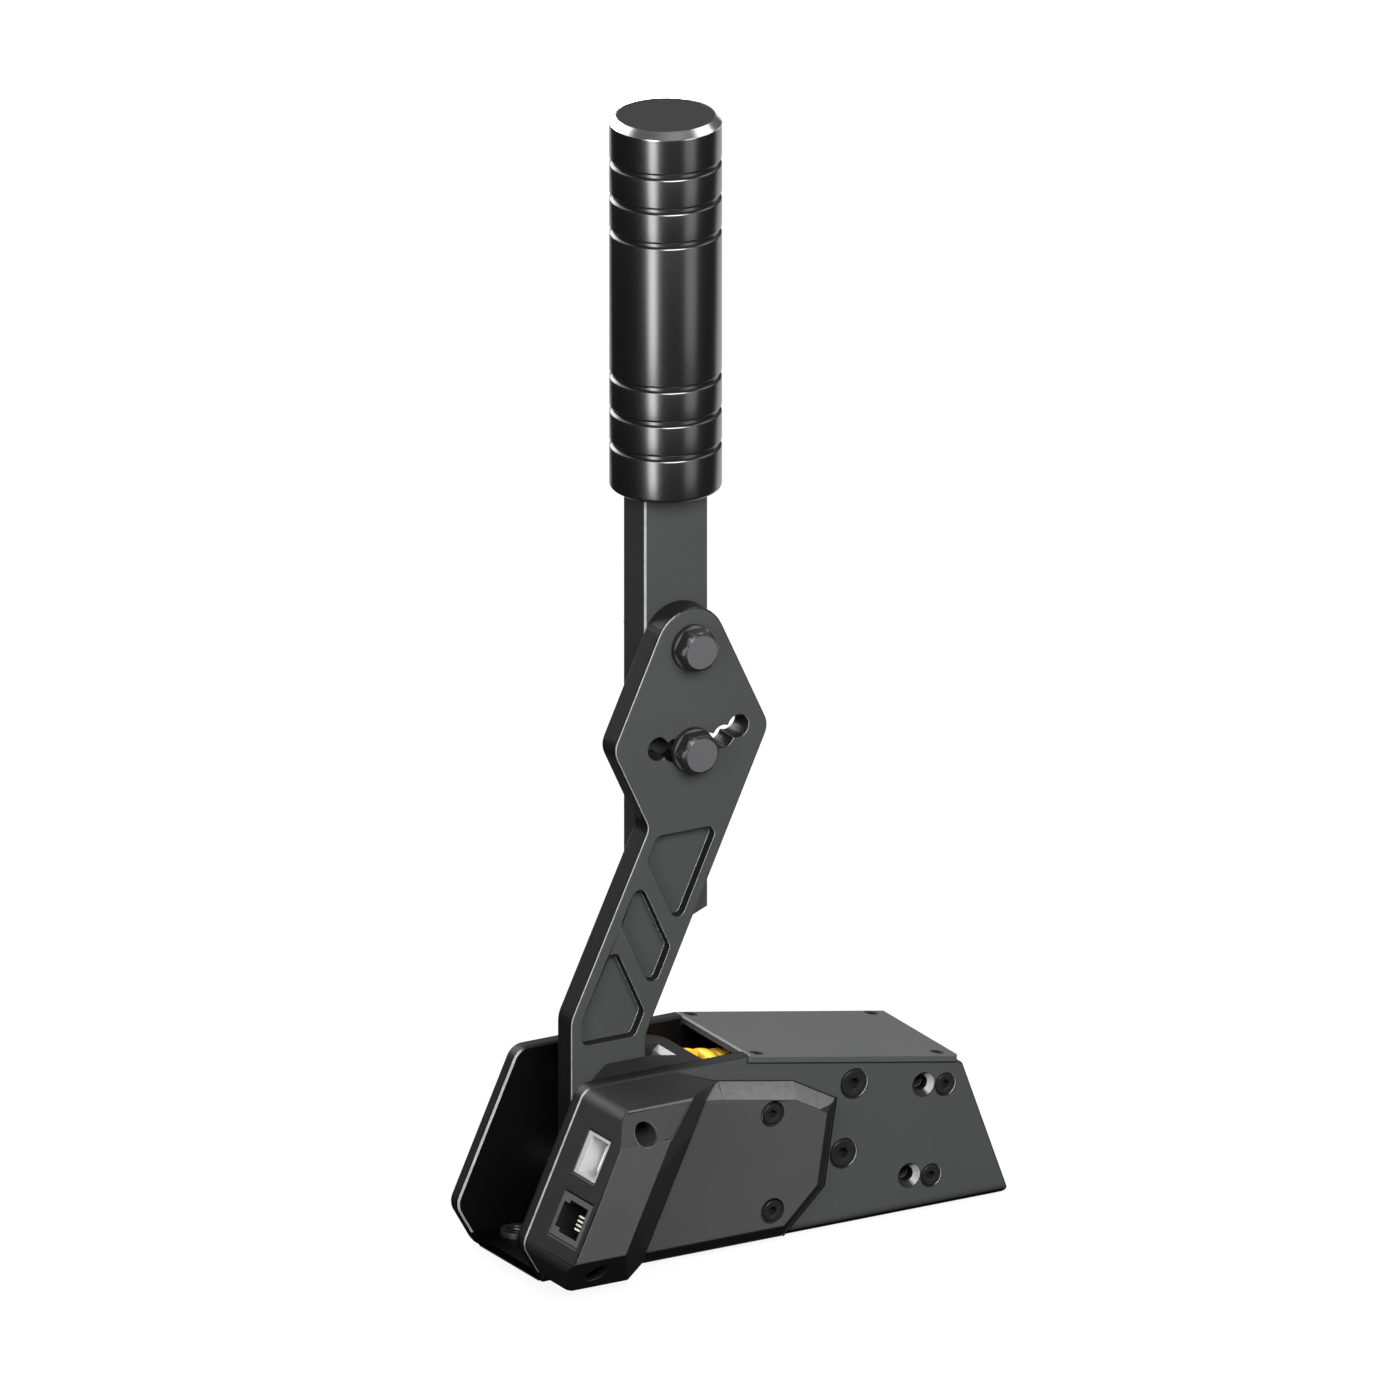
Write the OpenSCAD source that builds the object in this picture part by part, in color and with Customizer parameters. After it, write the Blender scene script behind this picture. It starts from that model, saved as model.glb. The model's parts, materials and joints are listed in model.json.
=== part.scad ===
// Handbrake lever for a racing simulator.
// X runs back from the driver's hand side to the closed tail, Y to the far side, Z up.
// The origin is the middle of the base bolt pattern, on the underside.

/* [Base frame] */
// Outer width across the two side walls
frame_w = 41; // [39:1:50]
// Thickness of each side wall
wall_t = 4.5; // [3.5:0.5:5.5]
// Thickness of the floor
floor_t = 4.5; // [3.5:0.5:5]
// Height of the level front part of the walls
wall_h = 55.4; // [55:0.2:60]
// Distance of the foremost corner ahead of the origin
nose_x = 77; // [75:1:84]
// Height of the foremost corner above the underside
nose_h = 13; // [11:0.5:15]
// Distance of the front end of the flat underside ahead of the origin
toe_x = 69.5; // [68.5:0.5:73]
// Lean of the front edge back from the vertical, in degrees
front_lean = 25; // [22:1:27]
// Distance of the rear end of the underside behind the origin
tail_x = 77.2; // [76:0.2:84]
// Lean of the rear edge forward from the vertical, in degrees
tail_lean = 20; // [14:1:23]
// Radius of the long outer bottom edges
bottom_r = 4; // [1:0.5:4]
// Bevel on the edges of the metal plates
edge = 0.5; // [0.2:0.1:0.8]

/* [Base mounting] */
// Spacing of the base bolts along the frame
bolt_span_x = 124; // [120:1:126]
// Spacing of the base bolts across the frame
bolt_span_y = 18; // [14:1:20]
// Radius of the tapped bore of each base insert
insert_bore_r = 2.5; // [2:0.1:3]
// Outer radius of each base insert
insert_r = 4.5; // [4:0.1:5]
// Height of each base insert
insert_h = 6; // [5:0.5:7]

/* [Top cover] */
// Distance of the cover's front edge ahead of the origin
cover_x = 5.2; // [4:0.2:8]
// Thickness of the cover
cover_t = 2; // [1.5:0.1:2.2]
// Downward slope of the cover and of the spring axis, in degrees
slope = 10; // [8:1:11]
// Radius of the heads of the cover screws
cover_screw_r = 1.9; // [1.6:0.1:2]

/* [Side screws] */
// Radius of the heads of the screws in the spring seat
seat_screw_r = 4.4; // [4:0.1:5]
// Distance of the seat screws from the spring axis
seat_screw_z = 10; // [9:0.5:11]
// Radius of the heads of the tail, panel and rear screws
tail_screw_r = 3.4; // [3.1:0.1:3.6]
// Distance of the tail screws along the spring axis
tail_screw_x = 65.3; // [64.5:0.1:66]
// Step forward from the tail screws to the open accessory holes
side_hole_step = 7; // [6.8:0.1:8]
// Height of the upper tail screws above the spring axis
tail_screw_up = 9.65; // [8.5:0.1:11]
// Height of the lower tail screws above the floor
tail_screw_low = 5.56; // [5:0.02:7]
// Radius of the tapped accessory holes
side_hole_r = 1.65; // [1.4:0.05:2]
// Depth of the tapped accessory holes in the tail block
side_hole_depth = 10; // [7:0.5:11]
// Radius of the open countersinks over the accessory holes
side_sink_r = 3.55; // [3:0.05:3.6]

/* [Main pivot] */
// Distance of the pivot ahead of the origin
pivot_x = 40.2; // [39:0.2:41.4]
// Height of the pivot above the underside
pivot_z = 18; // [17.4:0.2:19]
// Radius of the pivot axle
axle_r = 5; // [4.5:0.1:5.4]
// Outer radius of the pivot bushes
bush_r = 6.5; // [6:0.1:7]
// Radius of the flanges of the pivot bushes
flange_r = 8.5; // [8:0.1:9.5]
// Thickness of the flanges of the pivot bushes
flange_t = 1; // [0.6:0.1:1.5]
// Outer radius of the spacers beside the lever
spacer_r = 8; // [7:0.1:9]
// Radius of the magnet in the end of the axle
magnet_r = 4; // [3:0.1:4.2]
// Length of the magnet
magnet_h = 2.5; // [2:0.1:3]

/* [Lever plate] */
// Thickness of the lever plate
lever_t = 8; // [7:0.5:9]
// Radius of the lever's round foot about the pivot
foot_r = 11.9; // [11:0.1:12.3]
// Distance of the upper handle bolt ahead of the origin
bolt_x = 14.2; // [12:0.2:17]
// Height of the upper handle bolt above the underside
bolt_z = 171.2; // [166:0.2:178]
// Height at which the rear edge turns back from the straight foot
waist_rear_z = 60.4; // [58.5:0.2:62]
// Height at which the front edge turns back from the straight foot
waist_front_z = 68.5; // [66:0.5:72]
// Height of the head's peak above the upper bolt
head_top = 26; // [24:0.5:30]
// Reach of the head's rear corner behind the upper bolt
head_rear = 24.85; // [23:0.5:28]
// Reach of the head's front corner ahead of the upper bolt
head_front = 24.5; // [22:0.5:27]
// Width of the rim around the pockets
rim_w = 3.5; // [2.5:0.1:4.5]
// Width of the slanted ribs between the pockets
rib_w = 4.5; // [3:0.1:5.5]
// Lean of the ribs toward the front, in degrees
rib_lean = 24.5; // [20:0.5:28]
// Height of the upper rib at the front rim
rib_z = 108.5; // [106:0.5:110]
// Step down to the next rib
rib_step = 17.2; // [16:0.2:19]
// Height of the lowest pocket's bottom edge
pocket_z0 = 60.8; // [58:0.2:63]
// Height of the uppermost pocket's top edge
pocket_z1 = 117.5; // [116:0.5:118]
// Depth of the pockets
pocket_depth = 3; // [1.5:0.1:3.2]
// Corner radius of the pockets
pocket_r = 2.2; // [1:0.1:2.4]

/* [Angle setting] */
// Radius of the curved slot about the upper bolt
slot_r = 30; // [29:0.2:31]
// Radius of the round stops of the slot
stop_r = 3.25; // [3.2:0.05:3.4]
// Angle between the stops, in degrees
stop_step = 10; // [9:0.2:10]
// Stops ahead of the middle one
stops_front = 2; // [1:1:2]
// Stops behind the middle one
stops_rear = 3; // [1:1:3]
// Radius of the handle bolts
bolt_r = 3; // [2.5:0.1:3.1]
// Radius of the lower bolt where it passes the slot
bolt_waist_r = 1.8; // [1.5:0.05:1.8]
// Width across the flats of the handle bolts' heads and nuts
bolt_flats = 11; // [9:0.5:12]
// Height of the bolt heads
bolt_head_h = 4.4; // [3:0.2:5]
// Radius of the washers under the heads and nuts
washer_r = 6.4; // [6:0.1:7]
// Thickness of the washers
washer_t = 1.6; // [1:0.1:2]

/* [Handle] */
// Width of the handle bar
bar_w = 20; // [18:0.5:22]
// Thickness of the handle bar
bar_t = 12; // [10:0.5:13]
// Height of the bar's upper end
bar_top = 285; // [275:1:290]
// Height of the bar's pointed lower end
bar_bottom = 87; // [84:0.5:92]
// Slant of the two faces of the lower end, in degrees
bar_slant = 22; // [10:1:30]
// Radius of the grip
grip_r = 15.5; // [15:0.1:18]
// Height of the grip's lower end
grip_z0 = 213.7; // [205:0.5:225]
// Height of the grip's upper end
grip_z1 = 321.7; // [316:0.5:330]
// Spacing of the grooves within each group of three
groove_step = 10; // [8:0.5:11]
// Spacing between the two groups of grooves
groove_gap = 42; // [36:1:46]
// Distance of the first groove below the grip's upper end
groove_top = 12.9; // [11:0.1:14]
// Depth of the grooves
groove_depth = 0.75; // [0.2:0.05:0.8]
// Half width of the grooves
groove_half = 1.2; // [0.8:0.1:1.6]
// Height of the chamfer at the grip's upper end
grip_chamfer = 2.2; // [1:0.1:2.5]
// Radius of the screw that holds the grip
grip_screw_r = 4; // [3:0.1:4.2]

/* [Spring and pusher] */
// Distance of the spring axis' reference point ahead of the origin
axis_x = 9.3; // [8.6:0.1:9.9]
// Depth of the spring axis' reference point below the walls' top
axis_drop = 17.8; // [17.7:0.1:18.4]
// Outer diameter of the spring
spring_od = 27; // [24:0.5:28]
// Place of the spring's front end along its axis
spring_x0 = -6.9; // [-8:0.1:-6]
// Length of the spring at rest
spring_len = 36.9; // [35.5:0.1:38]
// Turns of the spring
spring_turns = 6.6; // [5.5:0.1:6.8]
// Thickness of the spring's wire along the axis
wire_h = 4.2; // [3.4:0.1:4.4]
// Width of the spring's wire across the axis
wire_w = 3.5; // [2.5:0.1:4]
// Radius of the spring rod
rod_r = 4; // [3.5:0.1:4.4]
// Thickness of the pusher's base
pusher_base = 5.7; // [5:0.1:6.2]
// Height of the pusher block across the axis
pusher_h = 27.4; // [25:0.2:27.6]
// Radius of the cross pin in the lever
pin_r = 4; // [3.6:0.1:4.2]
// Length of the cross pin
pin_len = 26; // [22:0.5:27]
// Depth of the cross pin's middle below the spring axis
pin_drop = 0.25; // [0.1:0.05:0.4]
// Offset of the cross pin behind the pivot
pin_x = 0.89; // [0.7:0.01:1.1]
// Reach of the pusher's lips ahead of the cross pin's middle
fork_front = 8.1; // [6.5:0.1:8.4]
// Thickness of the spring seat block along the axis
seat_len = 12; // [10.5:0.5:12]
// Place of the tail block's front face along the spring axis
tail_front = 55.2; // [54.6:0.1:55.8]

/* [Sensor housing] */
// Reach of the front box beyond the wall
box_out = 26.5; // [25.5:0.5:30]
// Wall thickness of the plastic housing
shell_t = 2.2; // [1.8:0.1:2.4]
// Width of the box's outer face along the frame
strip_w = 14.8; // [14:0.2:18]
// Length of the box where it meets the wall
box_foot = 40.1; // [38:0.1:42]
// Height of the housing's underside
box_z0 = 2; // [1:0.5:3]
// Height of the housing's top
box_z1 = 55; // [54.4:0.1:55.4]
// Height of the lower edge of the box's outer face
cheek_z0 = 15.4; // [14:0.2:17]
// Height of the upper edge of the box's outer face
cheek_z1 = 46.4; // [45:0.2:48]
// Reach of the thin rear panel beyond the wall
panel_out = 4.5; // [4:0.1:6]
// Radius of the deep holes over the front screws
deep_hole_r = 3.1; // [2.9:0.05:3.4]

/* [Hidden] */
// Radial gap of turning and sliding fits
run_fit = 0.03;
// Radial gap of pieces fixed in each other
fix_fit = 0.02;
// Gap between flat faces that slide past each other
face_gap = 0.05;
inner_y = frame_w / 2 - wall_t;
outer_y = frame_w / 2;
axis_z = wall_h - axis_drop;
// Depth of the lower tail screws below the spring axis
tail_screw_down = (axis_z - tail_screw_x * sin(slope) - floor_t - tail_screw_low) / cos(slope);
pivot = [-pivot_x, pivot_z];
upper = [-bolt_x, bolt_z];
bar_y0 = lever_t / 2 + face_gap;
bar_y1 = bar_y0 + bar_t;
bar_y = (bar_y0 + bar_y1) / 2;
spring_x1 = spring_x0 + spring_len;
seat_x1 = spring_x1 + seat_len;
pitch = (spring_len - wire_h - 2 * face_gap) / spring_turns;
pusher_y = spring_od / 2 + 0.5;
slot_y = lever_t / 2 + 1.1;
pin_at = [pin_x - pivot_x, axis_z + (pivot_x - pin_x - axis_x) * tan(slope) - pin_drop];
box_y = -outer_y - box_out;
$fn = 48;

// Plane geometry
function unit(v) = v / norm(v);
function turn(v) = [-v[1], v[0]];
function cross2(a, b) = a[0] * b[1] - a[1] * b[0];
// Point where the line through p along u meets the line through q along w
function meet(p, u, q, w) = p + u * cross2(q - p, w) / cross2(u, w);
// Points of the arc that rounds corner p between a and b
function corner(a, p, b, r) = r <= 0 ? [p] :
    let (u = unit(a - p), w = unit(b - p), half = acos(u * w) / 2,
         n = max(2, ceil((180 - 2 * half) / 10)),
         c = p + unit(u + w) * r / sin(half),
         s = p + u * r / tan(half) - c,
         e = p + w * r / tan(half) - c,
         a0 = atan2(s[1], s[0]),
         d = atan2(e[1], e[0]) - a0,
         sweep = d > 180 ? d - 360 : (d < -180 ? d + 360 : d))
    [for (i = [0:n]) c + r * [cos(a0 + sweep * i / n), sin(a0 + sweep * i / n)]];
// Outline whose corners [x, y, r] are rounded to r
function rounded(v) = let (k = len(v)) [for (i = [0:k - 1])
    let (a = v[(i + k - 1) % k], p = v[i], b = v[(i + 1) % k])
    for (q = corner([a[0], a[1]], [p[0], p[1]], [b[0], b[1]], p[2])) q];
// Outline drawn in by d on every side
function inset(v, d) = let (k = len(v)) [for (i = [0:k - 1])
    let (n1 = turn(unit(v[i] - v[(i + k - 1) % k])), n2 = turn(unit(v[(i + 1) % k] - v[i])))
    v[i] + (n1 + n2) * d / (1 + n1 * n2)];
function ring(v, z) = [for (p = v) [p[0], p[1], z]];

// Solid through a stack of rings with equal counts of points, bottom first
module stack(rings) {
    n = len(rings[0]);
    m = len(rings);
    sides = [for (k = [0:m - 2], i = [0:n - 1])
        [k * n + i, (k + 1) * n + i, (k + 1) * n + (i + 1) % n, k * n + (i + 1) % n]];
    polyhedron([for (r = rings) each r], concat([[for (i = [0:n - 1]) i]], sides,
        [[for (i = [0:n - 1]) m * n - 1 - i]]));
}

// Closed loop of rings, each joined to the next and the last to the first
module loop(rings) {
    n = len(rings[0]);
    m = len(rings);
    polyhedron([for (r = rings) each r], [for (k = [0:m - 1], i = [0:n - 1])
        [k * n + i, (k + 1) % m * n + i, (k + 1) % m * n + (i + 1) % n, k * n + (i + 1) % n]]);
}

// Plate with bevelled edges: a plain core inside a bevelled border
module bevel_plate(v, t, b = edge) {
    inner = inset(v, b + 0.5);
    linear_extrude(t) polygon(inset(v, b + 0.3));
    loop([ring(inset(v, b), 0), ring(v, b), ring(v, t - b), ring(inset(v, b), t), ring(inner, t),
        ring(inner, 0)]);
}

// Outline in X and Z, extruded along Y from y0 to y1
module across(y0, y1) {
    translate([0, y1, 0]) rotate([90, 0, 0]) linear_extrude(y1 - y0) children();
}

// Bevelled plate in X and Z between y0 and y1
module upright_plate(v, y0, y1, b = edge) {
    translate([0, y1, 0]) rotate([90, 0, 0]) bevel_plate(v, y1 - y0, b);
}

// Frame of the spring axis: X runs back along it, Z up from it
module on_axis() {
    translate([-axis_x, 0, axis_z]) rotate([0, slope, 0]) children();
}
function axis_point(x, z) = [-axis_x + x * cos(slope) + z * sin(slope),
    axis_z - x * sin(slope) + z * cos(slope)];

// Frame of the sloping cover, with its upper face at Z 0
module on_cover() {
    translate([-cover_x, 0, wall_h]) rotate([0, slope, 0]) children();
}

// Frame of the rear edge: X out of it, Z up along it
module on_tail() {
    translate([tail_x, 0, 0]) rotate([0, -tail_lean, 0]) children();
}

// Frame of the leaning front: X back from it, Z up along it
module on_front() {
    translate([-nose_x, 0, nose_h]) rotate([0, front_lean, 0]) children();
}

// Axis out of a side wall at p, side -1 near and 1 far
module on_wall(p, side, y = outer_y) {
    translate([p[0], side * y, p[1]]) rotate([-90 * side, 0, 0]) children();
}

// Countersunk screw, head flush with Z 0, or the hole for it with a gap
module sunk(rh, rs, len, gap = 0) {
    land = 0.3;
    top = gap > 0 ? 0.5 : 0;
    difference() {
        rotate_extrude() polygon([[0, top], [rh + gap, top], [rh + gap, -land - gap],
            [rs + gap, -land - gap - rh + rs], [rs + gap, -len - gap], [0, -len - gap]]);
        if (gap == 0) translate([0, 0, -rh * 0.5]) cylinder(r = rh * 0.5, h = rh, $fn = 6);
    }
}

// Hexagon prism across flats
module hex(flats, h) {
    cylinder(r = flats / sqrt(3), h = h, $fn = 6);
}

// Frame outline
function tail_at(z) = tail_x - z * tan(tail_lean);
nose = [-nose_x, nose_h];
brow = [-nose_x + (wall_h - nose_h) * tan(front_lean), wall_h];
fall = [cos(slope), -sin(slope)];
tail_dir = [-sin(tail_lean), cos(tail_lean)];
step_top = [-cover_x, wall_h] - fall * 0.15;
step_low = step_top - cover_t * [sin(slope), cos(slope)];
tail_low = meet(step_low, fall, [tail_x, 0], tail_dir);
tail_top = meet([-cover_x, wall_h], fall, [tail_x, 0], tail_dir);
wall_outline = rounded([[-toe_x, 0, 2], [tail_x, 0, 2], [tail_low[0], tail_low[1], 2],
    [step_low[0], step_low[1], 0], [step_top[0], step_top[1], 0], [brow[0], brow[1], 5],
    [nose[0], nose[1], 5]]);
seat_points = [for (z = [1, -1]) axis_point(spring_x1 + seat_len / 2, z * seat_screw_z)];
tail_points = [axis_point(tail_screw_x, tail_screw_up), axis_point(tail_screw_x, -tail_screw_down)];
side_points = [for (z = [tail_screw_up, -tail_screw_down])
    axis_point(tail_screw_x - side_hole_step, z)];
front_points = [[-52.4, 48.7], [-64.6, 8.9]];
panel_points = [[-0.45, 38.8], [-0.45, 10.6]];
cover_len = norm(tail_top - [-cover_x, wall_h]);
cover_long = cover_len - 0.4;
cover_points = [3.6, cover_len - 6];
// Section of the cover from a to b, bevelled above
function top_bevel(a, b) = [[a, -cover_t], [b, -cover_t], [b, -edge], [b - edge, 0], [a + edge, 0],
    [a, -edge]];
insert_points = [for (x = [-1, 1], y = [-1, 1]) [x * bolt_span_x / 2, y * bolt_span_y / 2]];

// Space inside the long rounded bottom edges
module channel() {
    translate([-nose_x - 5, 0, 0]) rotate([90, 0, 90]) linear_extrude(nose_x + tail_x + 10)
        polygon(rounded([[-outer_y, 0, bottom_r], [outer_y, 0, bottom_r],
            [outer_y, wall_h + 5, 0], [-outer_y, wall_h + 5, 0]]));
}

module floor_plate() {
    color([0.31, 0.31, 0.32]) difference() {
        across(-inner_y, inner_y) polygon([[-toe_x, 0], [tail_x, 0], [tail_at(floor_t), floor_t],
            [-toe_x - floor_t * (nose_x - toe_x) / nose_h, floor_t]]);
        for (p = insert_points) translate([p[0], p[1], -1])
            cylinder(r = insert_r + fix_fit, h = floor_t + 2);
    }
}

module side_wall(side) {
    color([0.31, 0.31, 0.32]) difference() {
        intersection() {
            upright_plate(wall_outline, side > 0 ? inner_y : -outer_y,
                side > 0 ? outer_y : -inner_y);
            channel();
        }
        on_wall(pivot, side) translate([0, 0, -wall_t - 1])
            cylinder(r = bush_r + fix_fit, h = wall_t + 2);
        for (p = seat_points) on_wall(p, side) sunk(seat_screw_r, 2.5, wall_t + 1, 0.05);
        for (p = tail_points) on_wall(p, side) sunk(tail_screw_r, 2, wall_t + 1, 0.05);
        for (p = side_points) on_wall(p, side) sunk(side_sink_r, 2.1, wall_t + 1, 0.05);
        if (side < 0) {
            for (p = front_points) on_wall(p, -1) translate([0, 0, -wall_t - 1])
                cylinder(r = 1.5 + fix_fit, h = wall_t + 2);
            for (p = panel_points) on_wall(p, -1) translate([0, 0, -wall_t - 1])
                cylinder(r = 2 + fix_fit, h = wall_t + 2);
            for (p = spacer_points) on_wall(p, -1) translate([0, 0, -3])
                cylinder(r = 1 + fix_fit, h = 4);
        }
        for (x = cover_points) on_cover()
            translate([x, side * (outer_y - wall_t * 0.55), -cover_t - 4])
            cylinder(r = 1 + fix_fit, h = 6);
    }
}

module near_wall() {
    side_wall(-1);
}

module far_wall() {
    side_wall(1);
}

module mount_inserts() {
    color([0.78, 0.79, 0.8]) for (p = insert_points) translate([p[0], p[1], 0]) difference() {
        cylinder(r = insert_r, h = insert_h);
        translate([0, 0, -1]) cylinder(r = insert_bore_r, h = insert_h + 2);
    }
}

module top_cover() {
    color([0.4, 0.4, 0.41]) on_cover() difference() {
        intersection() {
            translate([0, 0, -cover_t]) linear_extrude(cover_t) polygon(rounded([[0, -outer_y, 1],
                [cover_long, -outer_y, 1], [cover_long, outer_y, 1], [0, outer_y, 1]]));
            rotate([90, 0, 90]) linear_extrude(cover_long) polygon(top_bevel(-outer_y, outer_y));
            across(-outer_y, outer_y) polygon(top_bevel(0, cover_long));
        }
        for (x = cover_points, side = [-1, 1]) translate([x, side * (outer_y - wall_t * 0.55), 0])
            sunk(cover_screw_r, 1, cover_t + 1, 0.05);
    }
}

module cover_screws() {
    color([0.1, 0.1, 0.1]) for (x = cover_points, side = [-1, 1]) on_cover()
        translate([x, side * (outer_y - wall_t * 0.55), -0.1]) sunk(cover_screw_r, 1, cover_t + 3);
}

// Holes of the rear plate, along the rear edge
plate_top = (wall_h - 17) / cos(tail_lean);
rear_points = [floor_t + 11.5, plate_top - 6.9];

module rear_plate() {
    color([0.31, 0.31, 0.32]) on_tail() difference() {
        translate([-1.5, 0, 0]) rotate([0, -90, 0])
            linear_extrude(2) polygon([[floor_t + 2.2, -inner_y + 0.1], [plate_top, -inner_y + 0.1],
                [plate_top, inner_y - 0.1], [floor_t + 2.2, inner_y - 0.1]]);
        for (z = rear_points) translate([-1.5, 0, z]) rotate([0, 90, 0])
            sunk(tail_screw_r - 0.4, 1.5, 4, 0.05);
    }
}

module rear_screws() {
    color([0.1, 0.1, 0.1]) on_tail() for (z = rear_points) translate([-1.5, 0, z])
        rotate([0, 90, 0]) sunk(tail_screw_r - 0.4, 1.5, 8);
}

// Cover's underside above the spring axis
under_cover = ([-cover_x, wall_h] - [-axis_x, axis_z]) * [sin(slope), cos(slope)] - cover_t;

module spring_seat() {
    color([0.35, 0.35, 0.36]) difference() {
        on_axis() difference() {
            union() {
                translate([spring_x1, -inner_y, -17]) cube([seat_len, 2 * inner_y, 17 + under_cover]);
                translate([spring_x1 - 2, 0, 0]) rotate([0, 90, 0])
                    cylinder(r = spring_od / 2 - wire_w - 0.6, h = 3);
            }
            translate([spring_x1 - 3, 0, 0]) rotate([0, 90, 0])
                cylinder(r = rod_r + 2 + fix_fit, h = seat_len + 5);
        }
        for (side = [-1, 1], p = seat_points) on_wall(p, side, inner_y) translate([0, 0, -8])
            cylinder(r = 2.5 + fix_fit, h = 10);
    }
}

module seat_screws() {
    color([0.08, 0.08, 0.08]) for (side = [-1, 1], p = seat_points) on_wall(p, side)
        sunk(seat_screw_r, 2.5, wall_t + 7.5);
}

module tail_block() {
    color([0.35, 0.35, 0.36]) difference() {
        intersection() {
            on_axis() translate([tail_front, -inner_y, -80])
                cube([80, 2 * inner_y, 80 + under_cover]);
            on_tail() translate([-103.5, -50, -50]) cube([100, 100, 150]);
            translate([0, -50, floor_t]) cube([150, 100, 100]);
        }
        on_axis() translate([tail_front - 1, 0, 0]) rotate([0, 90, 0])
            cylinder(r = rod_r + 1.5, h = 80);
        for (p = insert_points) if (p[0] > 0) translate([p[0], p[1], floor_t - 1]) {
            cylinder(r = insert_r + 0.7, h = insert_h - floor_t + 3);
            cylinder(r = insert_bore_r + 0.7, h = insert_h - floor_t + 11);
        }
        for (side = [-1, 1]) {
            for (p = tail_points) on_wall(p, side, inner_y) translate([0, 0, -8])
                cylinder(r = 2 + fix_fit, h = 10);
            for (p = side_points) on_wall(p, side, inner_y) translate([0, 0, -side_hole_depth])
                cylinder(r = side_hole_r, h = side_hole_depth + 1);
        }
        on_tail() for (z = rear_points) translate([-12, 0, z]) rotate([0, 90, 0])
            cylinder(r = 1.5 + fix_fit, h = 10);
    }
}

module tail_screws() {
    color([0.08, 0.08, 0.08]) for (side = [-1, 1], p = tail_points) on_wall(p, side)
        sunk(tail_screw_r, 2, wall_t + 7);
}

// Plan of the front box, across the leaning front
function box_plan(y_wall) = [[0, y_wall, 0], [0, box_y, 0.8], [strip_w, box_y, 1],
    [strip_w + (y_wall - box_y) * (box_foot - strip_w) / box_out, y_wall, 0]];
// Front profile of the box, in Y and Z
function box_front(y_wall) = [[box_y + 14.4, box_z0, 0.8], [y_wall, box_z0, 0],
    [y_wall, box_z1, 0], [box_y + 5.6, box_z1, 1.2], [box_y, cheek_z1, 1], [box_y, cheek_z0, 1]];
// Side profile of the box, in X and Z
box_side = [[-toe_x - box_z0 * (nose_x - toe_x) / nose_h, box_z0, 5.5], [60, box_z0, 0],
    [60, box_z1, 0],
    [-nose_x + (box_z1 - nose_h) * tan(front_lean), box_z1, 4.5], [-nose_x, nose_h, 4]];
// The same outline with its corners rounded, or sharp and drawn in by d
function shell_outline(v, d) = d > 0 ? inset([for (p = v) [p[0], p[1]]], d) : rounded(v);
// Outline of the thin panel where it meets the wall
panel_outline = [[-50, 1.2], [5, 1.2], [7.3, 3.35], [17.9, 13.4], [21.8, 38.4], [8.4, 45.8],
    [-15.6, 50.1], [-32, 52]];
usb_y = -outer_y - 9.1;
usb_w = 11.4;
usb_h = 12.2;
usb_z0 = 25.1;
usb_plan = [[usb_y, usb_z0], [usb_y, usb_z0 + usb_h], [usb_y - usb_w, usb_z0 + usb_h],
    [usb_y - usb_w, usb_z0]];
jack_w = 15;
jack_z0 = 6.9;
jack_z1 = 19.4;

module box_form(d) {
    wall = d > 0 ? -outer_y + d + 1 : -outer_y;
    intersection() {
        on_front() translate([0, 0, -60]) linear_extrude(140)
            polygon(shell_outline(box_plan(wall), d));
        translate([-nose_x - 20, 0, 0]) rotate([90, 0, 90]) linear_extrude(140)
            polygon(shell_outline(box_front(wall), d));
        across(-80, 0) polygon(shell_outline(box_side, d));
        translate([-29.5, -outer_y, box_z1 + 0.4]) rotate([0, 21.7, -15.8])
            translate([-100, -100, -100 - d]) cube([200, 200, 100]);
    }
}

module panel_form(d) {
    v = d > 0 ? inset(panel_outline, d * 1.414) : panel_outline;
    h = panel_out - d;
    translate([0, -outer_y, 0]) rotate([90, 0, 0])
        stack([ring(v, d > 0 ? -1 : 0), ring(v, 0.05), ring(inset(v, h - 0.05), h)]);
}

module housing_outer() {
    box_form(0);
    panel_form(0);
}

module socket_cut(v) {
    on_front() translate([-3, 0, 0]) rotate([90, 0, 90]) linear_extrude(shell_t + 5)
        polygon(v);
}

module sensor_housing() {
    color([0.2, 0.2, 0.2]) difference() {
        union() {
            difference() {
                housing_outer();
                union() {
                    box_form(shell_t);
                    panel_form(shell_t);
                }
            }
            intersection() {
                housing_outer();
                union() {
                    for (p = front_points) on_wall(p, -1) cylinder(r = 4.6, h = box_out);
                    for (p = panel_points) on_wall(p, -1) cylinder(r = 5, h = panel_out);
                    for (z = board_hole_z) on_front() translate([board_hole_x, board_y0, z])
                        rotate([90, 0, 0]) cylinder(r = 2.4, h = 12);
                }
            }
        }
        for (p = front_points) on_wall(p, -1) {
            translate([0, 0, 3]) cylinder(r = deep_hole_r, h = box_out);
            translate([0, 0, -1]) cylinder(r = 1.7, h = 6);
        }
        for (p = panel_points) on_wall(p, -1, outer_y + panel_out)
            sunk(tail_screw_r, 2.1, panel_out + 1, 0.05);
        for (z = board_hole_z) on_front() translate([board_hole_x, board_y0 + 1, z])
            rotate([90, 0, 0]) cylinder(r = 1 + fix_fit, h = 5);
        socket_cut(inset(usb_plan, -0.2));
        socket_cut([[usb_y + 0.2, jack_z0 - 0.2], [usb_y + 0.2, jack_z1 + 0.2],
            [usb_y - jack_w - 0.2, jack_z1 + 0.2], [usb_y - jack_w - 0.2, jack_z0 - 0.2]]);
    }
}

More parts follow.
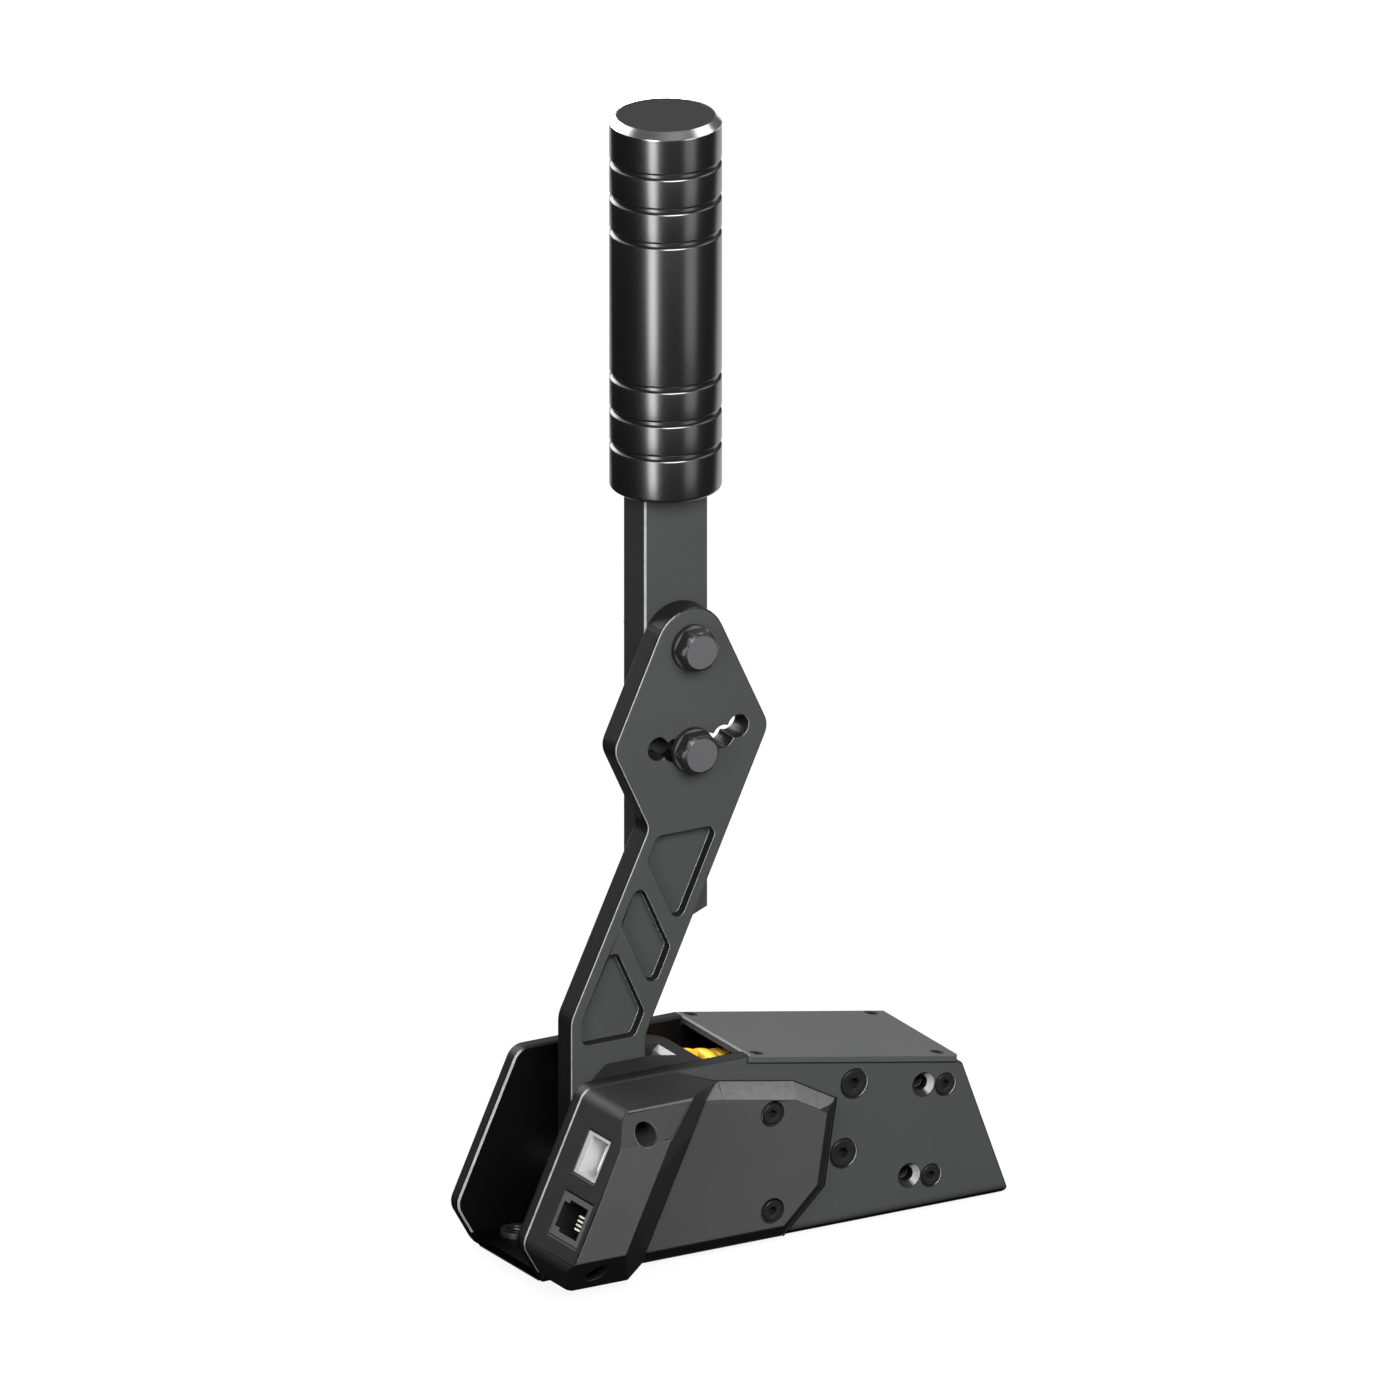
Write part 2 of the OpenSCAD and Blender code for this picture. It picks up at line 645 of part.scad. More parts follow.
module panel_screws() {
    color([0.08, 0.08, 0.08]) for (p = panel_points) on_wall(p, -1, outer_y + panel_out)
        sunk(tail_screw_r, 2, panel_out + wall_t - 0.5);
}

module front_screws() {
    color([0.12, 0.12, 0.12]) for (p = front_points) on_wall(p, -1) difference() {
        union() {
            translate([0, 0, 3]) cylinder(r = 2.75, h = 3);
            translate([0, 0, -3.5]) cylinder(r = 1.5, h = 7);
        }
        translate([0, 0, 4.4]) cylinder(r = 1.45, h = 3, $fn = 6);
    }
}

// Main circuit board, behind the sockets
board_t = 1.6;
board_y0 = usb_y;
board_hole_x = 23;
board_hole_z = [10, 34];

module circuit_board() {
    color([0.05, 0.25, 0.12]) on_front() difference() {
        translate([3, board_y0, 6.5]) cube([24, board_t, 31.5]);
        for (z = board_hole_z) translate([board_hole_x, board_y0 + board_t + 1, z])
            rotate([90, 0, 0]) cylinder(r = 1 + fix_fit, h = board_t + 2);
    }
}

module board_screws() {
    color([0.7, 0.7, 0.7]) {
        on_front() for (z = board_hole_z) translate([board_hole_x, board_y0 + board_t, z]) {
            rotate([90, 0, 0]) cylinder(r = 1, h = board_t + 3);
            rotate([-90, 0, 0]) cylinder(r = 2, h = 1.4);
        }
        for (p = spacer_points) on_wall(p, -1, outer_y + 2.7) {
            cylinder(r = 2, h = 1.2);
            translate([0, 0, -5]) cylinder(r = 1, h = 6);
        }
    }
}

module usb_socket() {
    color([0.8, 0.8, 0.82]) on_front() difference() {
        translate([0.3, 0, 0]) rotate([90, 0, 90]) linear_extrude(16) polygon(usb_plan);
        translate([-1, usb_y - usb_w + 0.7, usb_z0 + 0.8]) cube([16, usb_w - 2.8, usb_h - 1.6]);
    }
}

module usb_tongue() {
    color([0.95, 0.95, 0.95]) on_front()
        translate([5.2, usb_y - usb_w + 1.8, usb_z0 + 2.4]) cube([9.8, 6.4, usb_h - 4.8]);
}

module jack_body() {
    color([0.25, 0.25, 0.26]) difference() {
        intersection() {
            on_front() translate([0.3, usb_y - jack_w, jack_z0])
                cube([13.2, jack_w, jack_z1 - jack_z0]);
            union() {
                box_form(shell_t + 0.05);
                on_front() translate([0, usb_y - jack_w - 1, jack_z0 - 1])
                    cube([shell_t + 1.5, jack_w + 2, jack_z1 - jack_z0 + 2]);
            }
        }
        on_front() {
            translate([-1, usb_y - 13.2, jack_z0 + 1.6])
                cube([12.8, 9.4, jack_z1 - jack_z0 - 3.2]);
            translate([-1, usb_y - 4.5, jack_z0 + 2.6]) cube([9.8, 3.4, jack_z1 - jack_z0 - 5.2]);
        }
    }
}

module jack_contacts() {
    color([0.9, 0.7, 0.3]) on_front() for (i = [0:3])
        translate([1.1, usb_y - 13.2, (jack_z0 + jack_z1) / 2 + (i - 1.5) * 1.22 - 0.25]) {
            cube([10.7, 0.5, 0.5]);
            cube([0.5, 4, 0.5]);
        }
}

// Sensor board, on spacers on the near wall, with its chip over the magnet
back = [cos(front_lean), -sin(front_lean)];
up = [sin(front_lean), cos(front_lean)];
chip_at = [(pivot - nose) * back, (pivot - nose) * up];
spacer_points = [for (z = [-6, 6]) nose + (chip_at[0] - 12) * back + (chip_at[1] + z) * up];

module sensor_board() {
    color([0.05, 0.25, 0.12]) difference() {
        on_front() translate([chip_at[0] - 16, -outer_y - 2.7, chip_at[1] - 8.5])
            cube([18.6, 1.2, 17]);
        for (p = spacer_points) on_wall(p, -1) cylinder(r = 1 + fix_fit, h = 5);
    }
}

module angle_sensor() {
    color([0.06, 0.06, 0.06]) on_front()
        translate([chip_at[0] - 2.5, -outer_y - 1.5, chip_at[1] - 2.5]) cube([5, 1.1, 5]);
}

module board_spacers() {
    color([0.75, 0.75, 0.76]) for (p = spacer_points) on_wall(p, -1) difference() {
        cylinder(r = 2.2, h = 1.5);
        translate([0, 0, -1]) cylinder(r = 1 + fix_fit, h = 4);
    }
}

module pivot_bushes() {
    color([0.75, 0.6, 0.3]) for (side = [-1, 1]) on_wall(pivot, side, inner_y) difference() {
        union() {
            translate([0, 0, -flange_t]) cylinder(r = flange_r, h = flange_t);
            translate([0, 0, -flange_t]) cylinder(r = bush_r, h = wall_t + flange_t);
        }
        translate([0, 0, -flange_t - 1]) cylinder(r = axle_r + run_fit, h = wall_t + flange_t + 2);
    }
}

module rod_bush() {
    color([0.75, 0.6, 0.3]) on_axis() translate([spring_x1 - 2, 0, 0]) rotate([0, 90, 0])
        difference() {
            cylinder(r = rod_r + 2, h = seat_len + 2);
            translate([0, 0, -1]) cylinder(r = rod_r + run_fit + 0.01, h = seat_len + 4);
        }
}

// One ring of the spring's wire, eight to a turn
wire = [[0.5, -0.36], [0.5, 0.36], [0, 0.5], [-0.5, 0.36], [-0.5, -0.36], [0, -0.5]];
ring_count = floor(spring_turns * 8);
function coil_point(i, k) =
    let (a = i * spring_turns * 360 / ring_count,
         r = (spring_od - wire_w) / 2 + wire[k][0] * wire_w,
         x = spring_x0 + face_gap + wire_h / 2 + pitch * i * spring_turns / ring_count + wire[k][1] * wire_h)
    [x, r * sin(a), r * cos(a)];
spring_gap = min([for (i = [0:ring_count - 8], j = [7:9], k = [0:5], m = [0:5])
    if (i + j <= ring_count) norm(coil_point(i, k) - coil_point(i + j, m))]);
echo(least_gap_between_spring_turns = spring_gap);

module spring() {
    points = [for (i = [0:ring_count], k = [0:5]) coil_point(i, k)];
    sides = [for (i = [0:ring_count - 1], k = [0:5], h = [0, 1])
        let (a = i * 6 + k, b = i * 6 + (k + 1) % 6) h == 0 ? [a, b, b + 6] : [a, b + 6, a + 6]];
    first = [for (k = [1:4]) [0, k + 1, k]];
    last = [for (k = [1:4]) [0, k, k + 1] + ring_count * 6 * [1, 1, 1]];
    color([0.88, 0.69, 0.16]) on_axis() polyhedron(points, concat(sides, first, last));
}

// Lever outline, counter-clockwise from the rear of the foot
lever_rear = [pivot[0] + foot_r, waist_rear_z];
lever_front = [pivot[0] - foot_r, waist_front_z];
head_back = upper + [head_rear, -27.25];
neck = upper + [-13.2, -50.9];
foot_low = pivot_z - foot_r;
lever_outline = rounded([[lever_rear[0], foot_low, foot_r - 0.05], [lever_rear[0], lever_rear[1], 8],
    [head_back[0], head_back[1], 6], [upper[0], upper[1] + head_top, 11],
    [upper[0] - head_front, upper[1] - 26.6, 6], [neck[0], neck[1], 4],
    [lever_front[0], lever_front[1], 8], [lever_front[0], foot_low, foot_r - 0.05]]);
// Inner edges of the rims and the sides of the ribs
rear_dir = unit(head_back - lever_rear);
front_dir = unit(neck - lever_front);
rear_rim = lever_rear + rim_w * turn(rear_dir);
front_rim = lever_front - rim_w * turn(front_dir);
rib_dir = [-sin(rib_lean), cos(rib_lean)];
flat = [1, 0];
function rib_side(n, side) = meet([0, rib_z - n * rib_step], flat, front_rim, front_dir)
    - side * turn(rib_dir) * rib_w / 2;
function rim_points(p, u) = [meet(p, u, front_rim, front_dir), meet(p, u, rear_rim, rear_dir)];
top_cut = rim_points([0, pocket_z1], flat);
upper_a = rim_points(rib_side(0, 1), rib_dir);
upper_b = rim_points(rib_side(0, -1), rib_dir);
lower_a = rim_points(rib_side(1, 1), rib_dir);
lower_b = rim_points(rib_side(1, -1), rib_dir);
low_x = lever_front[0] + rim_w;
pockets = [[upper_a[0], upper_a[1], top_cut[1], top_cut[0]],
    [upper_b[0], lower_a[0], lower_a[1], upper_b[1]],
    [lower_b[0], [low_x, meet([low_x, 0], [0, 1], front_rim, front_dir)[1]], [low_x, pocket_z0],
        meet([0, pocket_z0], flat, rear_rim, rear_dir), lower_b[1]]];
stops = [for (i = [-stops_rear:stops_front]) upper
    + slot_r * [-sin(i * stop_step), -cos(i * stop_step)]];

module lever_plate() {
    color([0.42, 0.42, 0.43]) difference() {
        upright_plate(lever_outline, -lever_t / 2, lever_t / 2);
        for (side = [-1, 1], v = pockets)
            translate([0, side * (lever_t / 2 + 1), 0]) across(-pocket_depth - 1, pocket_depth + 1)
                polygon(rounded([for (p = v) [p[0], p[1], pocket_r]]));
        for (p = stops) on_wall(p, -1, lever_t / 2) translate([0, 0, -lever_t - 1])
            cylinder(r = stop_r, h = lever_t + 2);
        on_wall(upper, -1, lever_t / 2) translate([0, 0, -lever_t - 1])
            cylinder(r = bolt_r + 0.05, h = lever_t + 2);
        on_wall(pivot, -1, lever_t / 2) translate([0, 0, -lever_t - 1])
            cylinder(r = axle_r + fix_fit, h = lever_t + 2);
        on_wall(pin_at, -1, lever_t / 2) translate([0, 0, -lever_t - 1])
            cylinder(r = pin_r + fix_fit, h = lever_t + 2);
    }
}

module pivot_axle() {
    color([0.7, 0.71, 0.72]) on_wall(pivot, -1, outer_y - 0.4) difference() {
        translate([0, 0, -2 * outer_y + 0.4]) cylinder(r = axle_r, h = 2 * outer_y - 0.4);
        translate([0, 0, -magnet_h]) cylinder(r = magnet_r + fix_fit, h = magnet_h + 1);
        translate([0, 0, -2 * outer_y - 1]) cylinder(r = 2.5 + fix_fit, h = 14);
    }
}

module pivot_spacers() {
    long = inner_y - flange_t - face_gap - lever_t / 2;
    color([0.7, 0.71, 0.72]) for (side = [-1, 1]) on_wall(pivot, side, lever_t / 2) difference() {
        cylinder(r = spacer_r, h = long);
        translate([0, 0, -1]) cylinder(r = axle_r + fix_fit, h = long + 2);
    }
}

module axle_washer() {
    color([0.7, 0.71, 0.72]) on_wall(pivot, 1, outer_y + 0.1) difference() {
        cylinder(r = bush_r + 1.5, h = 1.4);
        translate([0, 0, -1]) cylinder(r = 2.6, h = 4);
    }
}

module axle_screw() {
    color([0.1, 0.1, 0.1]) on_wall(pivot, 1, outer_y + 1.5) difference() {
        union() {
            cylinder(r = 4.6, h = 2.8);
            translate([0, 0, -11]) cylinder(r = 2.5, h = 12);
        }
        translate([0, 0, 1.2]) cylinder(r = 1.7, h = 3, $fn = 6);
    }
}

module magnet() {
    color([0.8, 0.8, 0.82]) on_wall(pivot, -1, outer_y - 0.4) translate([0, 0, -magnet_h])
        cylinder(r = magnet_r, h = magnet_h);
}

module push_pin() {
    color([0.75, 0.76, 0.77]) on_wall(pin_at, -1, pin_len / 2) translate([0, 0, -pin_len])
        cylinder(r = pin_r, h = pin_len);
}

// Cross pin seen along the spring axis, and the cheeks that it bears on, with lips over it
pin_local = (pin_at - [-axis_x, axis_z]) * fall;
pin_up = (pin_at - [-axis_x, axis_z]) * [sin(slope), cos(slope)];
cheek_x = pin_local + pin_r + face_gap;
fork_x = pin_local - fork_front;
base_x = spring_x0 - pusher_base;
pusher_side = [[spring_x0, -pusher_h / 2], [spring_x0, pusher_h / 2], [fork_x + 6, pusher_h / 2],
    [fork_x, pusher_h / 2 - 6.7], [fork_x, pin_up + pin_r + 0.7], [cheek_x, pin_up + pin_r + 0.7],
    [cheek_x, 3.7 - pusher_h / 2], [base_x - 2, 3.7 - pusher_h / 2], [base_x - 2, -pusher_h / 2]];

module pusher_block() {
    color([0.22, 0.22, 0.23]) difference() {
        on_axis() difference() {
            intersection() {
                translate([0, 0, -pusher_h / 2]) linear_extrude(pusher_h)
                    polygon(rounded([[fork_x, -pusher_y, 5], [spring_x0, -pusher_y, 5],
                        [spring_x0, pusher_y, 5], [fork_x, pusher_y, 5], [fork_x, slot_y, 0.8],
                        [base_x, slot_y, 0], [base_x, -slot_y, 0], [fork_x, -slot_y, 0.8]]));
                across(-pusher_y - 1, pusher_y + 1) polygon(pusher_side);
            }
            translate([base_x - 1, 0, 0]) rotate([0, 90, 0])
                cylinder(r = rod_r + fix_fit, h = pusher_base + 2);
        }
        translate([-100, -50, wall_h - 0.7]) cube([200, 100, 10]);
    }
}

module push_pad() {
    color([0.85, 0.85, 0.86]) on_axis()
        translate([base_x, 0, 0]) rotate([90, 0, 0]) translate([0, 0, -slot_y + 0.02])
        linear_extrude(2 * slot_y - 0.04) polygon([[0, -pusher_h / 2 + 3], [0, pusher_h / 2 - 0.1],
            [-1.6, pusher_h / 2 - 1.7], [-1.6, -pusher_h / 2 + 3]]);
}

module spring_rod() {
    color([0.75, 0.76, 0.77]) on_axis() translate([base_x, 0, 0]) rotate([0, 90, 0])
        cylinder(r = rod_r, h = seat_x1 - base_x + 7.5);
}

module rod_washer() {
    color([0.7, 0.71, 0.72]) on_axis() translate([seat_x1 + face_gap, 0, 0]) rotate([0, 90, 0])
        difference() {
            cylinder(r = rod_r + 4, h = 1.2);
            translate([0, 0, -1]) cylinder(r = rod_r + fix_fit, h = 4);
        }
}

module rod_nut() {
    color([0.7, 0.71, 0.72]) on_axis() translate([seat_x1 + face_gap + 1.2, 0, 0])
        rotate([0, 90, 0]) difference() {
            hex(rod_r * 2 + 5, 4);
            translate([0, 0, -1]) cylinder(r = rod_r + fix_fit, h = 6);
        }
}

// Handle
lower = upper + [0, -slot_r];
slant = bar_w / 2 * tan(bar_slant);
bar_outline = [[-bolt_x, bar_bottom], [-bolt_x + bar_w / 2, bar_bottom + slant],
    [-bolt_x + bar_w / 2, bar_top], [-bolt_x - bar_w / 2, bar_top],
    [-bolt_x - bar_w / 2, bar_bottom + slant]];

module handle_bar() {
    color([0.33, 0.33, 0.34]) difference() {
        upright_plate(bar_outline, bar_y0, bar_y1);
        for (p = [upper, lower]) on_wall(p, 1, bar_y1) translate([0, 0, -bar_t - 1])
            cylinder(r = bolt_r + fix_fit, h = bar_t + 2);
        translate([-bolt_x, bar_y, bar_top - 22]) cylinder(r = grip_screw_r + fix_fit, h = 24);
    }
}

groove_z = [for (g = [0, 1], i = [0:2])
    grip_z1 - groove_top - g * (2 * groove_step + groove_gap) - i * groove_step];

module grip() {
    grip_profile = concat([[0, grip_z0], [grip_r - 1.5, grip_z0], [grip_r, grip_z0 + 1.5]],
        [for (i = [5:-1:0]) each [[grip_r, groove_z[i] - groove_half],
            [grip_r - groove_depth, groove_z[i] - groove_half / 2],
            [grip_r - groove_depth, groove_z[i] + groove_half / 2],
            [grip_r, groove_z[i] + groove_half]]],
        [[grip_r, grip_z1 - grip_chamfer], [grip_r - 1.9, grip_z1], [0, grip_z1]]);
    color([0.13, 0.13, 0.13]) translate([-bolt_x, bar_y, 0]) difference() {
        rotate_extrude($fn = 72) polygon(grip_profile);
        translate([-bar_w / 2 - 0.05, -bar_t / 2 - 0.05, grip_z0 - 1])
            cube([bar_w + 0.1, bar_t + 0.1, bar_top - grip_z0 + 1.05]);
        translate([0, 0, bar_top - 1]) cylinder(r = grip_screw_r + 0.2, h = grip_z1 - bar_top);
        translate([0, 0, grip_z1 - 13]) cylinder(r = grip_screw_r * 2, h = 14);
        translate([0, 0, grip_z1 - 4]) cylinder(r = grip_r - 2 + fix_fit, h = 5);
    }
}

module grip_screw() {
    color([0.5, 0.5, 0.5]) translate([-bolt_x, bar_y, 0]) difference() {
        union() {
            translate([0, 0, bar_top - 20]) cylinder(r = grip_screw_r, h = grip_z1 - 12 - bar_top + 20);
            translate([0, 0, grip_z1 - 13]) cylinder(r = grip_screw_r * 1.6, h = 8);
        }
        translate([0, 0, grip_z1 - 9]) cylinder(r = grip_screw_r * 0.86, h = 5, $fn = 6);
    }
}

module grip_cap() {
    color([0.2, 0.2, 0.2]) translate([-bolt_x, bar_y, grip_z1 - 4])
        cylinder(r = grip_r - 2, h = 4, $fn = 72);
}

module handle_bolt(p, waist) {
    long = lever_t + bar_t + washer_t * 2 + 6.5;
    on_wall(p, -1, lever_t / 2 + face_gap + washer_t) {
        difference() {
            intersection() {
                hex(bolt_flats, bolt_head_h);
                cylinder(r1 = bolt_flats / sqrt(3) + 2, r2 = bolt_flats / 2, h = bolt_head_h);
            }
            translate([0, 0, bolt_head_h - 0.4]) cylinder(r1 = 1.5, r2 = 2, h = 0.6);
        }
        difference() {
            translate([0, 0, -long]) cylinder(r = bolt_r, h = long + 1);
            if (waist) translate([0, 0, -washer_t - lever_t - 2 * face_gap]) difference() {
                cylinder(r = bolt_r + 1, h = lever_t + 2 * face_gap);
                translate([0, 0, -1]) cylinder(r = bolt_waist_r, h = lever_t + 3);
            }
        }
    }
}

module upper_bolt() {
    color([0.75, 0.76, 0.77]) handle_bolt(upper, false);
}

module lower_bolt() {
    color([0.75, 0.76, 0.77]) handle_bolt(lower, true);
}

module bolt_washers() {
    color([0.7, 0.71, 0.72]) for (p = [upper, lower]) {
        on_wall(p, -1, lever_t / 2 + face_gap) difference() {
            cylinder(r = washer_r, h = washer_t);
            translate([0, 0, -1]) cylinder(r = bolt_r + fix_fit, h = washer_t + 2);
        }
        on_wall(p, 1, bar_y1) difference() {
            cylinder(r = washer_r, h = washer_t);
            translate([0, 0, -1]) cylinder(r = bolt_r + fix_fit, h = washer_t + 2);
        }
    }
}

module bolt_nuts() {
    color([0.7, 0.71, 0.72]) for (p = [upper, lower]) on_wall(p, 1, bar_y1 + washer_t) difference() {
        hex(bolt_flats, 5);
        translate([0, 0, -1]) cylinder(r = bolt_r + fix_fit, h = 7);
    }
}

floor_plate();
near_wall();
far_wall();
mount_inserts();
top_cover();
cover_screws();
rear_plate();
rear_screws();
spring_seat();
seat_screws();
tail_block();
tail_screws();
sensor_housing();
panel_screws();
front_screws();
usb_socket();
usb_tongue();
jack_body();
jack_contacts();
circuit_board();
board_screws();
sensor_board();
angle_sensor();
board_spacers();
pivot_bushes();
rod_bush();
spring();
lever_plate();
pivot_axle();
pivot_spacers();
axle_screw();
axle_washer();
magnet();
push_pin();
pusher_block();
push_pad();
spring_rod();
rod_washer();
rod_nut();
handle_bar();
grip();
grip_screw();
grip_cap();
upper_bolt();
lower_bolt();
bolt_washers();
bolt_nuts();
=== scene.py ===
# %% [markdown]
# # A racing simulator's handbrake
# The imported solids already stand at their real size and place. This lesson dresses
# them: it rebuilds the turned and wound pieces as smooth surfaces, gives every piece
# its own finish, and sets up the camera and the soft white studio.

# %% Load the frame
import json
import math

import bpy
import numpy as np
from mathutils import Matrix, Vector


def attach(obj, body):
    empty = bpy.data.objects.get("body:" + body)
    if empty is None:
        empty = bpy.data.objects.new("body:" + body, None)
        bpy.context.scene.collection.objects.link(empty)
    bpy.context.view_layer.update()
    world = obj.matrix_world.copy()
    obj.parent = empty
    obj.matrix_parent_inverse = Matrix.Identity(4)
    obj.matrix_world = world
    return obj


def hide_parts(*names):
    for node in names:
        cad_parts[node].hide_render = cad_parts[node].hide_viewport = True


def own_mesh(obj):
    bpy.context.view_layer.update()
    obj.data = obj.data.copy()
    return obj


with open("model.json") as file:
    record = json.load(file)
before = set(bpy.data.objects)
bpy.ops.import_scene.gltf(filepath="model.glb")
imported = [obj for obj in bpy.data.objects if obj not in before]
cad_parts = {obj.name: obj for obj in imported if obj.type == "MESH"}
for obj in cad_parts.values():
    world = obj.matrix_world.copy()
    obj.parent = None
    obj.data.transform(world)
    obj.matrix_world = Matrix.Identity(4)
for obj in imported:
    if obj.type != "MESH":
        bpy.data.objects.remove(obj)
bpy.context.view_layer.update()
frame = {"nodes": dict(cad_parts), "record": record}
nodes = frame["nodes"]

# %% [markdown]
# ## Camera
# The view is along parallel lines: edges that are parallel on the object stay parallel
# in the picture. So the camera is orthographic, turned 30 degrees to the left of the
# near side and raised by 20 degrees. Three unit vectors say it all: right, up and back.

# %% Camera
TURN = math.radians(30)
PICTURE_WIDTH, DISTANCE = 0.38356, 2.0  # metres
right = np.array([math.cos(TURN), -math.sin(TURN), 0.0])
back = np.array([-0.46985, -0.81380, 0.34202])
above = np.cross(back, right)
target = -0.00789 * right + 0.1425 * above
camera = bpy.data.objects.new("camera", bpy.data.cameras.new("camera"))
camera.data.type = "ORTHO"
camera.data.ortho_scale = PICTURE_WIDTH
camera.data.clip_end = 20
spot = target + DISTANCE * back
camera.matrix_world = Matrix([[right[i], above[i], back[i], spot[i]] for i in range(3)]
                             + [[0, 0, 0, 1]])
bpy.context.scene.collection.objects.link(camera)
bpy.context.scene.camera = camera
print("camera at", np.round(spot, 3).tolist())

# %% [markdown]
# ## Forms
# A form is an array of points and two arrays of faces, quads and triangles. Most
# hardware is turned on a lathe, so its surface is a function of two parameters: the
# angle around the axis and the place along a profile. A hexagon fits the same formula:
# its radius is the inner radius divided by the cosine of the angle from the nearest
# flat's middle. A chamfered bolt head is the smaller of that and a cone.

# %% Turned forms
MM = 0.001
UNBOUNDED = 1e9


def fan(tip, row, flip):
    """Triangles from one tip point to a closed row of points."""
    a, b = row, np.roll(row, -1)
    tips = np.full_like(a, tip)
    return np.stack([tips, b, a] if flip else [tips, a, b], 1)


def turned(profile, around=96, closed=False):
    """Each profile row is [radius, height, hexagon share, greatest radius].
    Point(u, v) = radius(v) * (1 + share(v) * (1 / cos(d(u)) - 1)) at angle u, no further out
    than the greatest radius, at height(v), where d is the angle from the nearest flat."""
    rows = np.array([list(p) + [0, UNBOUNDED][len(p) - 2:] for p in profile], float)
    r, z, six, most = rows.T
    u = np.arange(around) * 2 * np.pi / around
    d = (u % (np.pi / 3)) - np.pi / 6
    radius = r[:, None] * (1 + six[:, None] * (1 / np.cos(d) - 1)[None, :])
    radius = np.minimum(radius, most[:, None])
    height = np.broadcast_to(z[:, None], radius.shape)
    grid = np.stack([radius * np.cos(u), radius * np.sin(u), height], 2)
    first, last = (0 if closed else 1), (len(r) if closed else len(r) - 1)
    body = grid[first:last].reshape(-1, 3)
    index = np.arange(len(body)).reshape(-1, around)
    upper = np.roll(index, -1, 0) if closed else index[1:]
    lower = index if closed else index[:-1]
    quads = np.stack([lower, np.roll(lower, -1, 1), np.roll(upper, -1, 1), upper], 2).reshape(-1, 4)
    if closed:
        return body, quads, np.zeros((0, 3), int)
    points = np.vstack([body, [[0, 0, z[0]], [0, 0, z[-1]]]])
    tris = np.vstack([fan(len(body), index[0], True), fan(len(body) + 1, index[-1], False)])
    return points, quads, tris


def merged(*forms):
    """Several forms as one: the faces of each are counted on from the points before it."""
    points, quads, tris, n = [], [], [], 0
    for p, q, t in forms:
        points.append(p)
        quads.append(q + n)
        tris.append(t + n)
        n += len(p)
    return np.vstack(points), np.vstack(quads), np.vstack(tris)


def placed(form, at, x, y, z):
    """The form with its own axes along x, y and z, standing at a point in mm."""
    points, quads, tris = form
    return points @ np.array([x, y, z], float) + np.array(at, float), quads, tris


print("a turned ring has", len(turned([[1, 0], [2, 0], [2, 1], [1, 1]], closed=True)[1]), "quads")

# %% [markdown]
# ## Places
# The spring's axis slopes down to the back by 10 degrees, and the housing's front leans
# back by 25. Places along the spring are given by how far along its axis and how far
# above it they lie. A screw drawn once at the origin is turned to stand straight out of
# either side wall, so it lands in every hole.

# %% Places
SIDE = 20.5
c10, s10 = math.cos(math.radians(10)), math.sin(math.radians(10))
c25, s25 = math.cos(math.radians(25)), math.sin(math.radians(25))
AXIS_AT = np.array([-9.3, 0, 37.6])
along, rise = np.array([c10, 0, -s10]), np.array([s10, 0, c10])


def axis_xz(x, z):
    """x and z in mm of a place x along the spring's axis and z above it."""
    p = AXIS_AT + x * along + z * rise
    return p[0], p[2]


def out_of_wall(form, xz, side, y=SIDE):
    """The form's own height runs straight out of the near wall (-1) or the far wall (1)."""
    return placed(form, (xz[0], side * y, xz[1]), (1, 0, 0), (0, 0, -side), (0, side, 0))


seat_at = [axis_xz(36, z) for z in (10, -10)]
tail_at = [axis_xz(65.3, z) for z in (9.65, -16.45)]
panel_at = [(-0.45, 38.8), (-0.45, 10.6)]
print("seat screws at", np.round(seat_at, 1).tolist())

# %% [markdown]
# ## Making a piece
# One function turns a form into an object: it scales to metres, puts the arrays into a
# mesh, smooths all edges below a given angle, says which body the piece rides on and
# hides the imported solids it stands for.

# %% Making a piece
def make(name, form, material, body, *stands_for, slot=None, sharp=35):
    """The form as an object on a body; sharp is the least angle in degrees of a sharp edge."""
    points, quads, tris = form
    mesh = bpy.data.meshes.new(name)
    mesh.from_pydata((points * MM).tolist(), [], quads.tolist() + tris.tolist())
    mesh.validate()
    mesh.shade_smooth()
    mesh.set_sharp_from_angle(angle=math.radians(sharp))
    piece = bpy.data.objects.new(name, mesh)
    piece.data.materials.append(material)
    bpy.context.scene.collection.objects.link(piece)
    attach(piece, body)
    if stands_for:
        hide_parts(*stands_for)
    print(f"{name}: {len(points)} points")
    return piece


# %% [markdown]
# ## Shared effects
# Three effects come back in many finishes, so each is a node group. *Grain* gives fine
# bumps and a slow change of tone. *Bright edge* finds the narrow bevels of a plate by
# the slope of its faces and marks a line on them. The line is partly wear, in patches,
# and partly painted light: a highlight where the line is lighter, shade where it is darker,
# strongest on the side toward the light. It also finds the flanks, which the finishes
# darken as painted shade. *Lathe marks* are fine rings about a turned piece's axis.

# %% Node groups
def new_group(name, inputs, outputs):
    """A group tree with its input node and its output node."""
    tree = bpy.data.node_groups.new(name, "ShaderNodeTree")
    for label, kind, value in inputs:
        socket = tree.interface.new_socket(label, in_out="INPUT", socket_type=kind)
        if value is not None:
            socket.default_value = value
    for label, kind in outputs:
        tree.interface.new_socket(label, in_out="OUTPUT", socket_type=kind)
    return tree, tree.nodes.new("NodeGroupInput"), tree.nodes.new("NodeGroupOutput")


def node(tree, kind, **settings):
    """A new node; each setting is the value of an input or of a property."""
    n = tree.nodes.new(kind)
    for key, value in settings.items():
        if key in n.inputs:
            n.inputs[key].default_value = value
        else:
            setattr(n, key, value)
    return n


